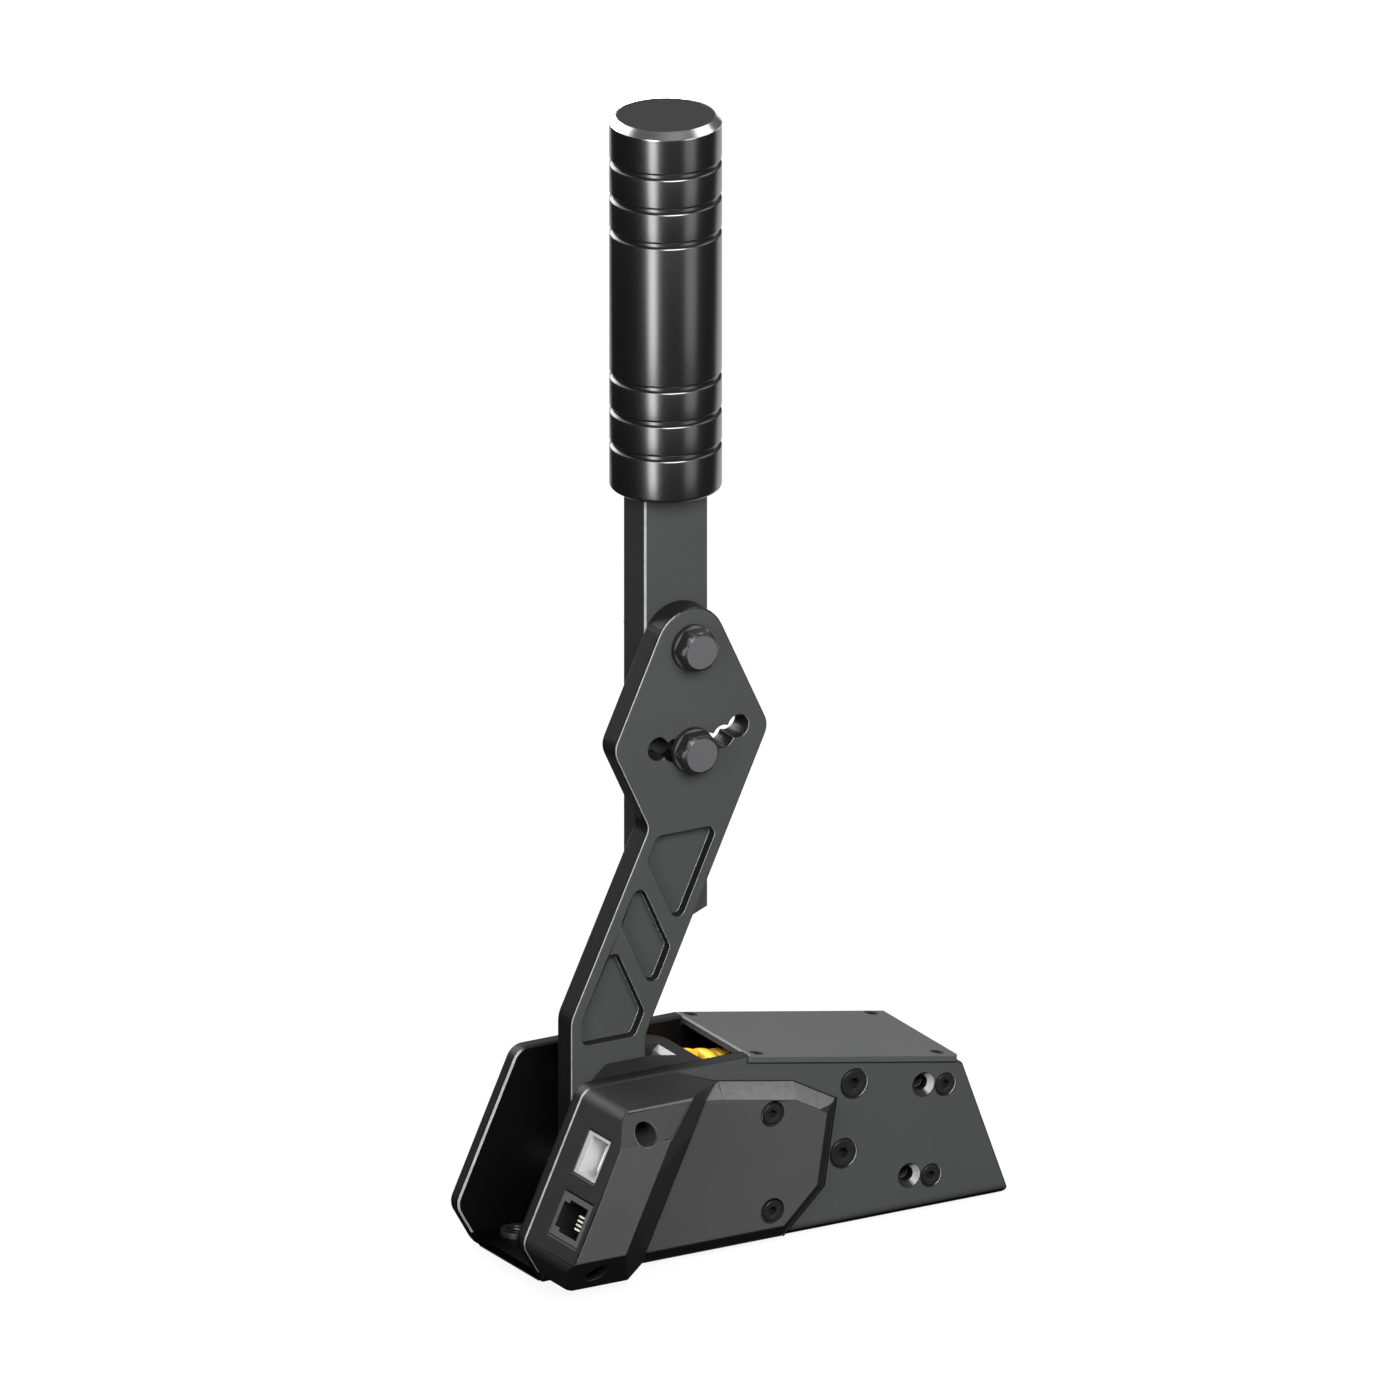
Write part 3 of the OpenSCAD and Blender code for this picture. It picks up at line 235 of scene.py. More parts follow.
def calc(tree, operation, a, b=None, clamp=False):
    """One Math node; a and b are sockets or numbers."""
    n = tree.nodes.new("ShaderNodeMath")
    n.operation, n.use_clamp = operation, clamp
    for socket, value in zip(n.inputs, (a, b)):
        if isinstance(value, bpy.types.NodeSocket):
            tree.links.new(value, socket)
        elif value is not None:
            socket.default_value = value
    return n.outputs[0]


def step_between(tree, value, low, high):
    """A smooth step of value from 0 at low to 1 at high."""
    n = node(tree, "ShaderNodeMapRange", interpolation_type="SMOOTHSTEP")
    n.inputs["From Min"].default_value = low
    n.inputs["From Max"].default_value = high
    tree.links.new(value, n.inputs["Value"])
    return n.outputs["Result"]


def blend(tree, low, share):
    """low where the share is 0, and 1 where it is 1."""
    return calc(tree, "ADD", low, calc(tree, "MULTIPLY", share, 1 - low))


V, F, C = "NodeSocketVector", "NodeSocketFloat", "NodeSocketColor"

grain, g_in, g_out = new_group(
    "grain",
    [("Place", V, None), ("Size", F, 1500.0), ("Contrast", F, 0.1), ("Roughness", F, 0.5),
     ("Color", C, (0.1, 0.1, 0.1, 1))],
    [("Color", C), ("Roughness", F), ("Height", F)])
FINE_SHARE, SLOW_SHARE, TONE_SWING = 0.6, 0.4, 4.0
fine = node(grain, "ShaderNodeTexNoise", Detail=3.0, Roughness=0.65)
slow = node(grain, "ShaderNodeTexNoise", Scale=38.0, Detail=4.0)
for n in (fine, slow):
    grain.links.new(g_in.outputs["Place"], n.inputs["Vector"])
grain.links.new(g_in.outputs["Size"], fine.inputs["Scale"])
both = calc(grain, "ADD", calc(grain, "MULTIPLY", fine.outputs["Fac"], FINE_SHARE),
            calc(grain, "MULTIPLY", slow.outputs["Fac"], SLOW_SHARE))
swing = calc(grain, "MULTIPLY", calc(grain, "SUBTRACT", both, 0.5), g_in.outputs["Contrast"])
tone = node(grain, "ShaderNodeVectorMath", operation="SCALE")
grain.links.new(g_in.outputs["Color"], tone.inputs[0])
lighter = calc(grain, "ADD", calc(grain, "MULTIPLY", swing, TONE_SWING), 1.0)
grain.links.new(lighter, tone.inputs["Scale"])
grain.links.new(tone.outputs[0], g_out.inputs["Color"])
rougher = calc(grain, "ADD", g_in.outputs["Roughness"], swing, clamp=True)
grain.links.new(rougher, g_out.inputs["Roughness"])
grain.links.new(fine.outputs["Fac"], g_out.inputs["Height"])

edges, e_in, e_out = new_group(
    "bright_edge",
    [("Normal", V, None), ("Place", V, None), ("Across", V, (0, 1, 0)),
     ("Toward", V, (-1, 0, 0)), ("Lowest", F, -1.0)],
    [("Mask", F), ("Flank", F)])
# Lean is 1 on a plate's flat faces, 0 on its flanks, and between them on its bevels.
BEVEL_STARTS, BEVEL_ENDS, FLANK_ENDS = (0.45, 0.6), (0.76, 0.84), (0.8, 0.95)
LEAST_TOWARD_LIGHT, LEAST_PATCH = 0.02, 0.8


def normal_along(direction):
    """How much the surface faces one of the group's two directions, from -1 to 1."""
    dot = node(edges, "ShaderNodeVectorMath", operation="DOT_PRODUCT")
    edges.links.new(e_in.outputs["Normal"], dot.inputs[0])
    edges.links.new(e_in.outputs[direction], dot.inputs[1])
    return dot.outputs["Value"]


lean = calc(edges, "ABSOLUTE", normal_along("Across"))
band = calc(edges, "MULTIPLY", step_between(edges, lean, *BEVEL_STARTS),
            calc(edges, "SUBTRACT", 1.0, step_between(edges, lean, *BEVEL_ENDS)))
# Flank marks the sides of a plate, which the finishes darken as painted shade.
on_flank = calc(edges, "SUBTRACT", 1.0, step_between(edges, lean, *FLANK_ENDS))
edges.links.new(on_flank, e_out.inputs["Flank"])
# Painted highlight: the line is kept only on bevels turned toward the light (Toward).
toward_light = blend(edges, LEAST_TOWARD_LIGHT, step_between(edges, normal_along("Toward"), 0.2, 0.5))
split = node(edges, "ShaderNodeSeparateXYZ")
edges.links.new(e_in.outputs["Place"], split.inputs[0])
high = calc(edges, "GREATER_THAN", split.outputs["Z"], e_in.outputs["Lowest"])
scuff = node(edges, "ShaderNodeTexNoise", Scale=420.0, Detail=3.0)
edges.links.new(e_in.outputs["Place"], scuff.inputs["Vector"])
patchy = blend(edges, LEAST_PATCH, step_between(edges, scuff.outputs["Fac"], 0.25, 0.6))
mask = calc(edges, "MULTIPLY", calc(edges, "MULTIPLY", band, high),
            calc(edges, "MULTIPLY", patchy, toward_light))
edges.links.new(mask, e_out.inputs["Mask"])

lathe, l_in, l_out = new_group(
    "lathe_marks", [("Place", V, None), ("Pitch", F, 4000.0)], [("Height", F)])
rings = node(lathe, "ShaderNodeTexWave", wave_type="BANDS", bands_direction="Z",
             Distortion=1.5, Detail=2.0)
lathe.links.new(l_in.outputs["Place"], rings.inputs["Vector"])
lathe.links.new(l_in.outputs["Pitch"], rings.inputs["Scale"])
lathe.links.new(rings.outputs["Fac"], l_out.inputs["Height"])
print("node groups:", [g.name for g in bpy.data.node_groups])

# %% [markdown]
# ## Finishes
# A finish is one Principled shader whose colour, roughness and bump come from the
# groups. Coated plates show a lighter line on their bevels, partly wear and partly a
# painted highlight, and painted shade on their flanks; steel and plastic differ in
# metallic, roughness and the size of the grain. Between the walls, nearer to the middle
# than *inside*, the colour is painted almost black as shade, because hardly any light
# falls there.

# %% Finishes
PLAIN_IOR, GRIP_IOR = 1.5, 1.62
METAL_LEVEL = 0.5
SHADED_INSIDE = 0.97
EDGE_LINE_SMOOTHER = 0.15
BUMP_HEIGHT = 0.0002


def finish(name, color, rough, metallic=0.0, size=1500.0, contrast=0.1, bump=0.1,
           edge=None, pitch=None, coat=0.0, wear_and_painted_light=(0.62, 0.62, 0.63, 1), lowest=-1.0,
           gloss=0.14, ior=PLAIN_IOR, inside=None, flank=1.0, toward=(-1, 0, 0)):
    """Size, contrast and bump belong to the grain. Edge is the direction across a plate
    whose bevels, above the height lowest and on the side toward, take a line colour of
    their own: partly wear and partly painted light, a highlight where it is lighter and
    shade where it is darker. Flank is the share of its tone that the plate's side keeps,
    a painted shade. Inside is the half width between the walls, which is painted almost
    black as shade. Pitch adds lathe marks."""
    m = bpy.data.materials.new(name)
    m.use_nodes = True
    t = m.node_tree
    shader = t.nodes["Principled BSDF"]
    spot = t.nodes.new("ShaderNodeTexCoord")
    g = t.nodes.new("ShaderNodeGroup")
    g.node_tree = grain
    t.links.new(spot.outputs["Object"], g.inputs["Place"])
    g.inputs["Size"].default_value = size
    g.inputs["Contrast"].default_value = contrast
    g.inputs["Roughness"].default_value = rough
    g.inputs["Color"].default_value = (*color, 1)
    shader.inputs["Metallic"].default_value = metallic
    shader.inputs["Coat Weight"].default_value = coat
    shader.inputs["IOR"].default_value = ior
    shader.inputs["Specular IOR Level"].default_value = METAL_LEVEL if metallic else gloss
    color_out, rough_out, height = g.outputs["Color"], g.outputs["Roughness"], g.outputs["Height"]
    # Painted shade: between the walls the colour is darkened almost to black.
    if inside:
        split = node(t, "ShaderNodeSeparateXYZ")
        t.links.new(spot.outputs["Object"], split.inputs[0])
        hidden = calc(t, "LESS_THAN", calc(t, "ABSOLUTE", split.outputs["Y"]), inside)
        shade = node(t, "ShaderNodeVectorMath", operation="SCALE")
        t.links.new(color_out, shade.inputs[0])
        kept = calc(t, "SUBTRACT", 1.0, calc(t, "MULTIPLY", hidden, SHADED_INSIDE))
        t.links.new(kept, shade.inputs["Scale"])
        color_out = shade.outputs[0]
    if edge is not None:
        e = t.nodes.new("ShaderNodeGroup")
        e.node_tree = edges
        t.links.new(spot.outputs["Normal"], e.inputs["Normal"])
        t.links.new(spot.outputs["Object"], e.inputs["Place"])
        e.inputs["Across"].default_value = edge
        e.inputs["Lowest"].default_value = lowest
        e.inputs["Toward"].default_value = toward
        # Bevels take the line colour, partly wear and partly painted light; flanks are darkened as
        # painted shade.
        mix = node(t, "ShaderNodeMix", data_type="RGBA")
        t.links.new(e.outputs["Mask"], mix.inputs["Factor"])
        flank_shade = node(t, "ShaderNodeVectorMath", operation="SCALE")
        t.links.new(color_out, flank_shade.inputs[0])
        kept = calc(t, "SUBTRACT", 1.0, calc(t, "MULTIPLY", e.outputs["Flank"], 1.0 - flank))
        t.links.new(kept, flank_shade.inputs["Scale"])
        t.links.new(flank_shade.outputs[0], mix.inputs["A"])
        mix.inputs["B"].default_value = wear_and_painted_light
        color_out = mix.outputs["Result"]
        smoother = calc(t, "MULTIPLY", e.outputs["Mask"], EDGE_LINE_SMOOTHER)
        rough_out = calc(t, "SUBTRACT", rough_out, smoother, clamp=True)
    if pitch:
        marks = t.nodes.new("ShaderNodeGroup")
        marks.node_tree = lathe
        marks.inputs["Pitch"].default_value = pitch
        t.links.new(spot.outputs["Object"], marks.inputs["Place"])
        height = calc(t, "ADD", height, marks.outputs["Height"])
    b = node(t, "ShaderNodeBump", Strength=bump, Distance=BUMP_HEIGHT)
    t.links.new(height, b.inputs["Height"])
    t.links.new(b.outputs["Normal"], shader.inputs["Normal"])
    t.links.new(color_out, shader.inputs["Base Color"])
    t.links.new(rough_out, shader.inputs["Roughness"])
    return m


across_y, sloped, leaning = (0, 1, 0), (s10, 0, c10), (-c25, 0, s25)
# Lighter bevel line colours: partly wear, partly painted highlight.
worn_soft_highlight, worn_faint_highlight = (0.26, 0.26, 0.262, 1), (0.085, 0.085, 0.087, 1)
# name, colour, roughness, metallic, size, contrast and bump of the grain, edge
looks = {
    # Frame, lever and bar: flank paints shade on their sides; the frame's inside paints its inner
    # walls dark as shade.
    "frame_metal": finish("frame_coat", (0.0455, 0.0465, 0.0463), 0.42, 0.0, 2600,
        0.08, 0.14, across_y, wear_and_painted_light=worn_soft_highlight, lowest=0.0042, inside=0.0172, flank=0.15),
    "cover_metal": finish("cover_coat", (0.054, 0.0547, 0.0545), 0.42, 0.0, 2600,
        0.08, 0.14, sloped, wear_and_painted_light=worn_faint_highlight),
    "lever_metal": finish("lever_anodised", (0.0405, 0.0413, 0.0411), 0.36, 0.0, 2200,
        0.08, 0.1, across_y, wear_and_painted_light=worn_soft_highlight, flank=0.2),
    "bar_metal": finish("bar_anodised", (0.038, 0.0387, 0.0385), 0.4, 0.0, 2200,
        0.08, 0.1, across_y, wear_and_painted_light=worn_soft_highlight, flank=0.7),
    "block_metal": finish("block_anodised", (0.035, 0.035, 0.037), 0.45, 0.0, 1800,
        0.1, 0.12),
    "pusher_metal": finish("pusher_coat", (0.014, 0.014, 0.015), 0.32, 0.0, 1800,
        0.08, 0.06),
    # Painted highlight on the housing's rounded edges that face toward, painted shade on its sides.
    "housing_plastic": finish("housing_plastic", (0.0485, 0.0488, 0.0487), 0.44, 0.0, 5200,
        0.1, 0.22, (0.25, 0.968, 0), wear_and_painted_light=(0.095, 0.0955, 0.0953, 1), lowest=0.0375,
        gloss=0.12, flank=0.32, toward=(0.8, 0, 0.6)),
    "grip_metal": finish("grip_anodised", (0.004, 0.004, 0.004), 0.26, 0.0, 900,
        0.02, 0.012, pitch=2600, gloss=1.0, ior=GRIP_IOR),
    "grip_end": finish("grip_end", (0.017, 0.017, 0.017), 0.6, 0.0, 1600,
        0.08, 0.05, gloss=0.03),
    "black_steel": finish("black_oxide", (0.013, 0.013, 0.0135), 0.34, 0.0, 1500,
        0.08, 0.06),
    "steel": finish("bright_steel", (0.62, 0.62, 0.63), 0.25, 1.0, 900, 0.08, 0.05),
    "zinc_steel": finish("dull_zinc", (0.035, 0.035, 0.037), 0.42, 0.6, 1200,
        0.1, 0.08),
    "bronze": finish("sintered_bronze", (0.42, 0.27, 0.11), 0.5, 0.9, 3500,
        0.16, 0.2),
    "spring_yellow": finish("spring_paint", (0.74, 0.44, 0.03), 0.34, 0.0, 700,
        0.08, 0.12, coat=0.3),
    "socket_shell": finish("plated_shell", (0.5, 0.5, 0.505), 0.35, 0.35, 900, 0.06, 0.04),
    "white_plastic": finish("white_moulding", (0.9, 0.9, 0.9), 0.4, 0.0, 2500,
        0.04, 0.05),
    # Painted shade: a darker line on the jack's leaning bevels that face toward, and darker sides.
    "jack_plastic": finish("jack_moulding", (0.07, 0.07, 0.071), 0.4, 0.0, 2500,
        0.08, 0.08, leaning,
        wear_and_painted_light=(0.02, 0.02, 0.02, 1), flank=0.12, toward=(-1, 0, 0)),
    "contacts": finish("gold_plate", (0.82, 0.78, 0.68), 0.3, 0.3, 900, 0.05, 0.03),
    "board": finish("board_lacquer", (0.012, 0.09, 0.035), 0.3, 0.0, 1500,
        0.12, 0.08, coat=0.3),
    "chip": finish("chip_moulding", (0.014, 0.014, 0.014), 0.5, 0.0, 3000, 0.1, 0.1),
    "magnet": finish("nickel_plate", (0.6, 0.6, 0.62), 0.25, 1.0, 900, 0.06, 0.04),
}
# Painted shade: darker chamfers that face toward and darker hexagon sides on bolts, nuts and
# washers.
looks["bolt_black"] = finish("blackened_bolt", (0.064, 0.064, 0.066), 0.4, 0.0, 1100,
    0.08, 0.05, across_y,
    wear_and_painted_light=(0.012, 0.012, 0.0125, 1), gloss=0.3, flank=0.16)
looks["worn_pad"] = finish("worn_pad", (0.21, 0.21, 0.21), 0.4, 0.2, 1200, 0.1, 0.05)
# A near-black material for the painted shadow line where the housing's panel meets the wall.
looks["painted_shadow_line"] = finish("painted_shadow_line", (0.003, 0.003, 0.003), 0.7, gloss=0.05)
looks["cut_metal"] = finish("cut_metal", (0.85, 0.85, 0.85), 0.22, 1.0, 900, 0.05, 0.03)
slot_of = {s["node"]: s["material_slot"] for s in frame["record"]["subparts"]}
for name, solid in nodes.items():
    for s in solid.material_slots:
        s.link = "OBJECT"
        s.material = looks["worn_pad" if name == "push_pad" else slot_of[name]]
print("finishes:", len(looks))

# %% [markdown]
# ## Grip
# The sleeve is turned from bar: six narrow grooves in two groups, a rounded lower edge,
# and a bright chamfer that was cut after anodising. The chamfer is a ring of its own,
# because its finish is another one.

# %% Grip
BOLT_X, BAR_Y = -14.2, 10.05
GRIP_R, GRIP_LOW, GRIP_HIGH = 15.5, 213.7, 321.7
CHAMFER, LOW_ROUND = 2.2, 1.2
HOLLOW_R, HOLLOW_DEEP = 12.2, 6
FIRST_GROOVE, GROUP_STEP, GROOVE_STEP = 12.9, 62, 10
GROOVE_ROUND, GROOVE_DEPTH, GROOVE_HALF = 0.7, 0.75, 0.4


def arc(cx, cz, r, a0, a1, n=6):
    """n points of a rounded corner of the profile, from angle a0 to a1 in degrees."""
    a = np.radians(np.linspace(a0, a1, n))
    return [[cx + r * math.cos(t), cz + r * math.sin(t)] for t in a]


groove_z = sorted(GRIP_HIGH - FIRST_GROOVE - g * GROUP_STEP - i * GROOVE_STEP
                  for g in (0, 1) for i in (0, 1, 2))
lip = GRIP_R - GROOVE_ROUND
groove_floor = GRIP_R - GROOVE_DEPTH
sleeve = [[0, GRIP_LOW + HOLLOW_DEEP], [HOLLOW_R, GRIP_LOW + HOLLOW_DEEP],
          [HOLLOW_R, GRIP_LOW + 0.6], [12.8, GRIP_LOW]]
sleeve += arc(GRIP_R - LOW_ROUND, GRIP_LOW + LOW_ROUND, LOW_ROUND, -90, 0)
for z in groove_z:
    sleeve += arc(lip, z - 1.25, GROOVE_ROUND, 0, 75, 5)
    sleeve += [[groove_floor, z - GROOVE_HALF], [groove_floor, z + GROOVE_HALF]]
    sleeve += arc(lip, z + 1.25, GROOVE_ROUND, -75, 0, 5)
sleeve += [[GRIP_R, GRIP_HIGH - CHAMFER], [13.6, GRIP_HIGH - 2.25], [0, GRIP_HIGH - 2.25]]
at_grip = ((BOLT_X, BAR_Y, 0), (1, 0, 0), (0, 1, 0), (0, 0, 1))
make("grip_sleeve", placed(turned(sleeve, 144), *at_grip), looks["grip_metal"],
     "handle", "grip", slot="grip_metal", sharp=25)
rim = [[13.55, GRIP_HIGH - 2.3], [GRIP_R, GRIP_HIGH - 2.25], [GRIP_R, GRIP_HIGH - 2.0],
       [13.75, GRIP_HIGH], [13.55, GRIP_HIGH - 0.05]]
make("grip_chamfer", placed(turned(rim, 144, closed=True), *at_grip), looks["cut_metal"],
     "handle", slot="grip_metal")

# %% [markdown]
# ## Coil spring
# The wire has a section with flattened sides, carried along a helix. The helix is the
# path, the section the profile: every point is the path's point plus the section's
# offset, outward from the axis and along it. Both ends are closed with a fan.

# %% Coil spring
TURNS, SPRING_LOW, SPRING_LONG = 6.6, -6.85, 36.8
WIRE_H, WIRE_W, OUTER = 4.2, 3.5, 27.0
SQUARENESS = 0.72  # 1 gives an ellipse, 0 a rectangle
t = np.linspace(0, TURNS * 2 * np.pi, 420)
s = np.linspace(0, 2 * np.pi, 20, endpoint=False)
out = np.sign(np.cos(s)) * np.abs(np.cos(s)) ** SQUARENESS * WIRE_W / 2
down = np.sign(np.sin(s)) * np.abs(np.sin(s)) ** SQUARENESS * WIRE_H / 2
radius = (OUTER - WIRE_W) / 2 + out[None, :]
middle = SPRING_LOW + WIRE_H / 2 + (SPRING_LONG - WIRE_H) * t / t[-1]
wire = np.stack([middle[:, None] + down[None, :],
                 radius * np.sin(t)[:, None],
                 radius * np.cos(t)[:, None]], 2)
index = np.arange(wire[..., 0].size).reshape(len(t), len(s))
after = np.roll(index, -1, 1)
quads = np.stack([index[:-1], index[1:], after[1:], after[:-1]], 2).reshape(-1, 4)
points = np.vstack([wire.reshape(-1, 3), wire[0].mean(0), wire[-1].mean(0)])
tris = np.vstack([fan(len(points) - 2, index[0], False), fan(len(points) - 1, index[-1], True)])
coil = placed((points, quads, tris), AXIS_AT, along, (0, 1, 0), rise)
spring = make("coil_spring", coil, looks["spring_yellow"], "frame", "spring",
              slot="spring_yellow", sharp=50)
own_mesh(spring)

# %% [markdown]
# ## Countersunk screws
# One profile makes them all: a hexagonal socket, a small cone round its mouth, the flat
# head, a narrow step down at the rim, the cone and the shank.

# %% Countersunk screws
def countersunk(head, shank, long):
    """Radius of the head and of the shank, and the length, in mm."""
    socket = head * 0.34
    rows = [[0, -head * 0.5], [socket, -head * 0.5, 1], [socket, -0.12, 1],
            [socket * 1.13 + 0.1, 0, 0], [head - 0.75, 0], [head - 0.62, -0.1],
            [head - 0.58, -0.5], [head - 0.14, -0.5], [head - 0.3, -0.85],
            [shank, -0.3 - head + shank], [shank, -long], [0, -long]]
    return turned(rows[::-1])


seat = [out_of_wall(countersunk(4.4, 2.5, 12), p, side) for side in (-1, 1) for p in seat_at]
make("seat_screw_set", merged(*seat), looks["black_steel"],
     "frame", "seat_screws", slot="black_steel")
tail = [out_of_wall(countersunk(3.4, 2.0, 11.5), p, side) for side in (-1, 1) for p in tail_at]
make("tail_screw_set", merged(*tail), looks["black_steel"],
     "frame", "tail_screws", slot="black_steel")
PANEL_THICK = 4.5
panel = [out_of_wall(countersunk(3.4, 2.0, 8.5), p, -1, SIDE + PANEL_THICK) for p in panel_at]
make("panel_screw_set", merged(*panel), looks["black_steel"],
     "frame", "panel_screws", slot="black_steel")

# %% [markdown]
# ## Painted shadow line and softened edges
# A thin black strip along the right and lower edges of the housing's panel is a painted
# shadow line: it stands for the shade where the panel meets the wall. Milled and moulded
# edges are never razor sharp, so the lever plate and the housing get a narrow rounding:
# equal points are welded, flat triangles are joined into whole faces, and sharp edges are
# rounded.

# %% Painted shadow line and softened edges
# Painted shadow: a thin black strip along the panel's right and lower edges stands for the shade
# where panel and wall meet.
SHADOW_LINE_HALF, SHADOW_LINE_BELOW, SHADOW_LINE_ABOVE = 0.6, -0.1, 0.12
section = ((-SHADOW_LINE_HALF, SHADOW_LINE_BELOW), (SHADOW_LINE_HALF, SHADOW_LINE_BELOW),
           (SHADOW_LINE_HALF, SHADOW_LINE_ABOVE), (-SHADOW_LINE_HALF, SHADOW_LINE_ABOVE))
shadow_path = np.array([(21.8, 38.4), (17.9, 13.4), (7.3, 3.35), (5.0, 1.2)])
turn = np.diff(shadow_path, axis=0)
side_dir = np.stack([-turn[:, 1], turn[:, 0]], 1) / np.hypot(*turn.T)[:, None]
mitre = np.vstack([side_dir[:1], side_dir[:-1] + side_dir[1:], side_dir[-1:]])
mitre /= (mitre * np.vstack([side_dir[:1], side_dir])).sum(1)[:, None]
ring = np.array([[(*(q + w * m), h) for w, h in section] for q, m in zip(shadow_path, mitre)])
index = np.arange(ring[..., 0].size).reshape(len(shadow_path), len(section))
after = np.roll(index, -1, 1)
quads = np.stack([index[:-1], after[:-1], after[1:], index[1:]], 2).reshape(-1, 4)
quads = np.vstack([quads, index[0][::-1], index[-1]])
strip = placed((ring.reshape(-1, 3), quads, np.zeros((0, 3), int)),
               (0, -SIDE, 0), (1, 0, 0), (0, 0, 1), (0, -1, 0))
make("panel_shadow_line", strip, looks["painted_shadow_line"], "frame")


def soften(name, width, steps=2, over=30):
    """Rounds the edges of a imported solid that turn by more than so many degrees."""
    piece = nodes[name]
    weld = piece.modifiers.new("weld", "WELD")
    weld.merge_threshold = 0.001 * MM
    flat = piece.modifiers.new("flat", "DECIMATE")
    flat.decimate_type, flat.angle_limit = "DISSOLVE", math.radians(0.5)
    edge = piece.modifiers.new("edge", "BEVEL")
    edge.limit_method, edge.angle_limit = "ANGLE", math.radians(over)
    edge.width, edge.segments, edge.use_clamp_overlap = width * MM, steps, False
    edge.harden_normals = True


soften("sensor_housing", 0.5, 3, 42)
soften("lever_plate", 0.35)

# %% [markdown]
# ## Bolts, washers and nuts
# The two handle bolts have hexagon heads with a turned chamfer: the radius is the
# smaller of the hexagon's and a cone's. The nuts have a chamfer on both ends and the
# bolt's end standing through. The lower bolt is slim where it passes the slot.

# %% Bolts
FLATS, CORNER = 5.5, 6.4  # half the width across the flats, and the turned corners' radius
BOLT_R, WAIST_R, BORE_R = 3, 1.8, 3.02
PLATE_HALF, BAR_THICK, WASHER_HIGH = 4.05, 12, 1.6
lower_at, upper_at = (BOLT_X, 141.2), (BOLT_X, 171.2)
NEAR, FAR = PLATE_HALF + WASHER_HIGH, PLATE_HALF + BAR_THICK + WASHER_HIGH


def hex_bolt(slim):
    """Head above 0, shank below it, slim where it passes the slot."""
    end = [[0, -29.7], [2.4, -29.7], [BOLT_R, -29.1]]
    waist = [[BOLT_R, -9.75], [BOLT_R, -9.7], [WAIST_R, -9.7], [WAIST_R, -1.65], [BOLT_R, -1.65]]
    head = [[BOLT_R, 0], [FLATS, 0, 1, 6.0], [FLATS, 0.25, 1, CORNER], [FLATS, 2.9, 1, CORNER],
            [FLATS, 3.45, 1, 5.85], [5.2, 4.05], [4.75, 4.4], [0, 4.4]]
    return turned(end + (waist if slim else []) + head)


def nut():
    """Stands on 0; its thread is left plain, because the bolt fills it."""
    return turned([[BORE_R, 0], [4.9, 0], [FLATS, 0.1, 1, 5.9], [FLATS, 0.5, 1, CORNER],
                   [FLATS, 4.5, 1, CORNER], [FLATS, 4.9, 1, 5.9], [4.9, 5], [3.5, 5],
                   [BORE_R, 4.6]], closed=True)


def washer():
    return turned([[BORE_R, 0], [6.25, 0], [6.4, 0.15], [6.4, WASHER_HIGH - 0.3],
                   [6.2, WASHER_HIGH], [BORE_R, WASHER_HIGH]], closed=True)


make("upper_hex_bolt", out_of_wall(hex_bolt(False), upper_at, -1, NEAR), looks["bolt_black"],
     "handle", "upper_bolt", slot="black_steel", sharp=25)
make("lower_hex_bolt", out_of_wall(hex_bolt(True), lower_at, -1, NEAR), looks["bolt_black"],
     "handle", "lower_bolt", slot="black_steel", sharp=25)
nuts = [out_of_wall(nut(), p, 1, FAR) for p in (upper_at, lower_at)]
make("nut_pair", merged(*nuts), looks["bolt_black"],
     "handle", "bolt_nuts", slot="black_steel")
four_rings = [out_of_wall(washer(), p, side, y) for p in (upper_at, lower_at)
              for side, y in ((-1, NEAR - WASHER_HIGH), (1, FAR - WASHER_HIGH))]
make("washer_set", merged(*four_rings), looks["bolt_black"],
     "handle", "bolt_washers", slot="black_steel")

# %% [markdown]
# ## Threaded inserts
# A thread is a bore whose radius rises and falls along it, shifted by one pitch each
# turn: radius(u, v) = r + depth * triangle wave of (height / pitch - u / full turn).

# %% Threaded inserts
INSERT_LONG, THREAD_PITCH, THREAD_R, THREAD_DEPTH = 6.0, 1.0, 2.5, 0.35
MOUTH_R = 2.95
BOLTS_X, BOLTS_Y = 62, 9
u = np.arange(72) * 2 * np.pi / 72
level = np.linspace(0.05, 5.95, 80)
phase = level[:, None] / THREAD_PITCH - u[None, :] / (2 * np.pi)
bore = THREAD_R + THREAD_DEPTH * np.abs((phase % 1.0) * 2 - 1)
height = np.broadcast_to(level[:, None], bore.shape)
inside = np.stack([bore * np.cos(u), bore * np.sin(u), height], 2)


def level_ring(r, z):
    return [[r * math.cos(a), r * math.sin(a), z] for a in u]


skin = [[4.4, 6.0], [4.5, 5.8], [4.5, 0.1], [4.4, 0.0]]
outside = [level_ring(MOUTH_R, INSERT_LONG)] + [level_ring(r, z) for r, z in skin]
shell = np.concatenate([inside, np.array(outside + [level_ring(MOUTH_R, 0.0)])])
index = np.arange(shell[..., 0].size).reshape(len(shell), len(u))
nxt = np.roll(index, -1, 0)
quads = np.stack([index, nxt, np.roll(nxt, -1, 1), np.roll(index, -1, 1)], 2).reshape(-1, 4)
insert = (shell.reshape(-1, 3), quads, np.zeros((0, 3), int))
four = [placed(insert, (x, y, 0), (1, 0, 0), (0, 1, 0), (0, 0, 1))
        for x in (-BOLTS_X, BOLTS_X) for y in (-BOLTS_Y, BOLTS_Y)]
make("threaded_inserts", merged(*four), looks["zinc_steel"],
     "frame", "mount_inserts", slot="zinc_steel", sharp=60)

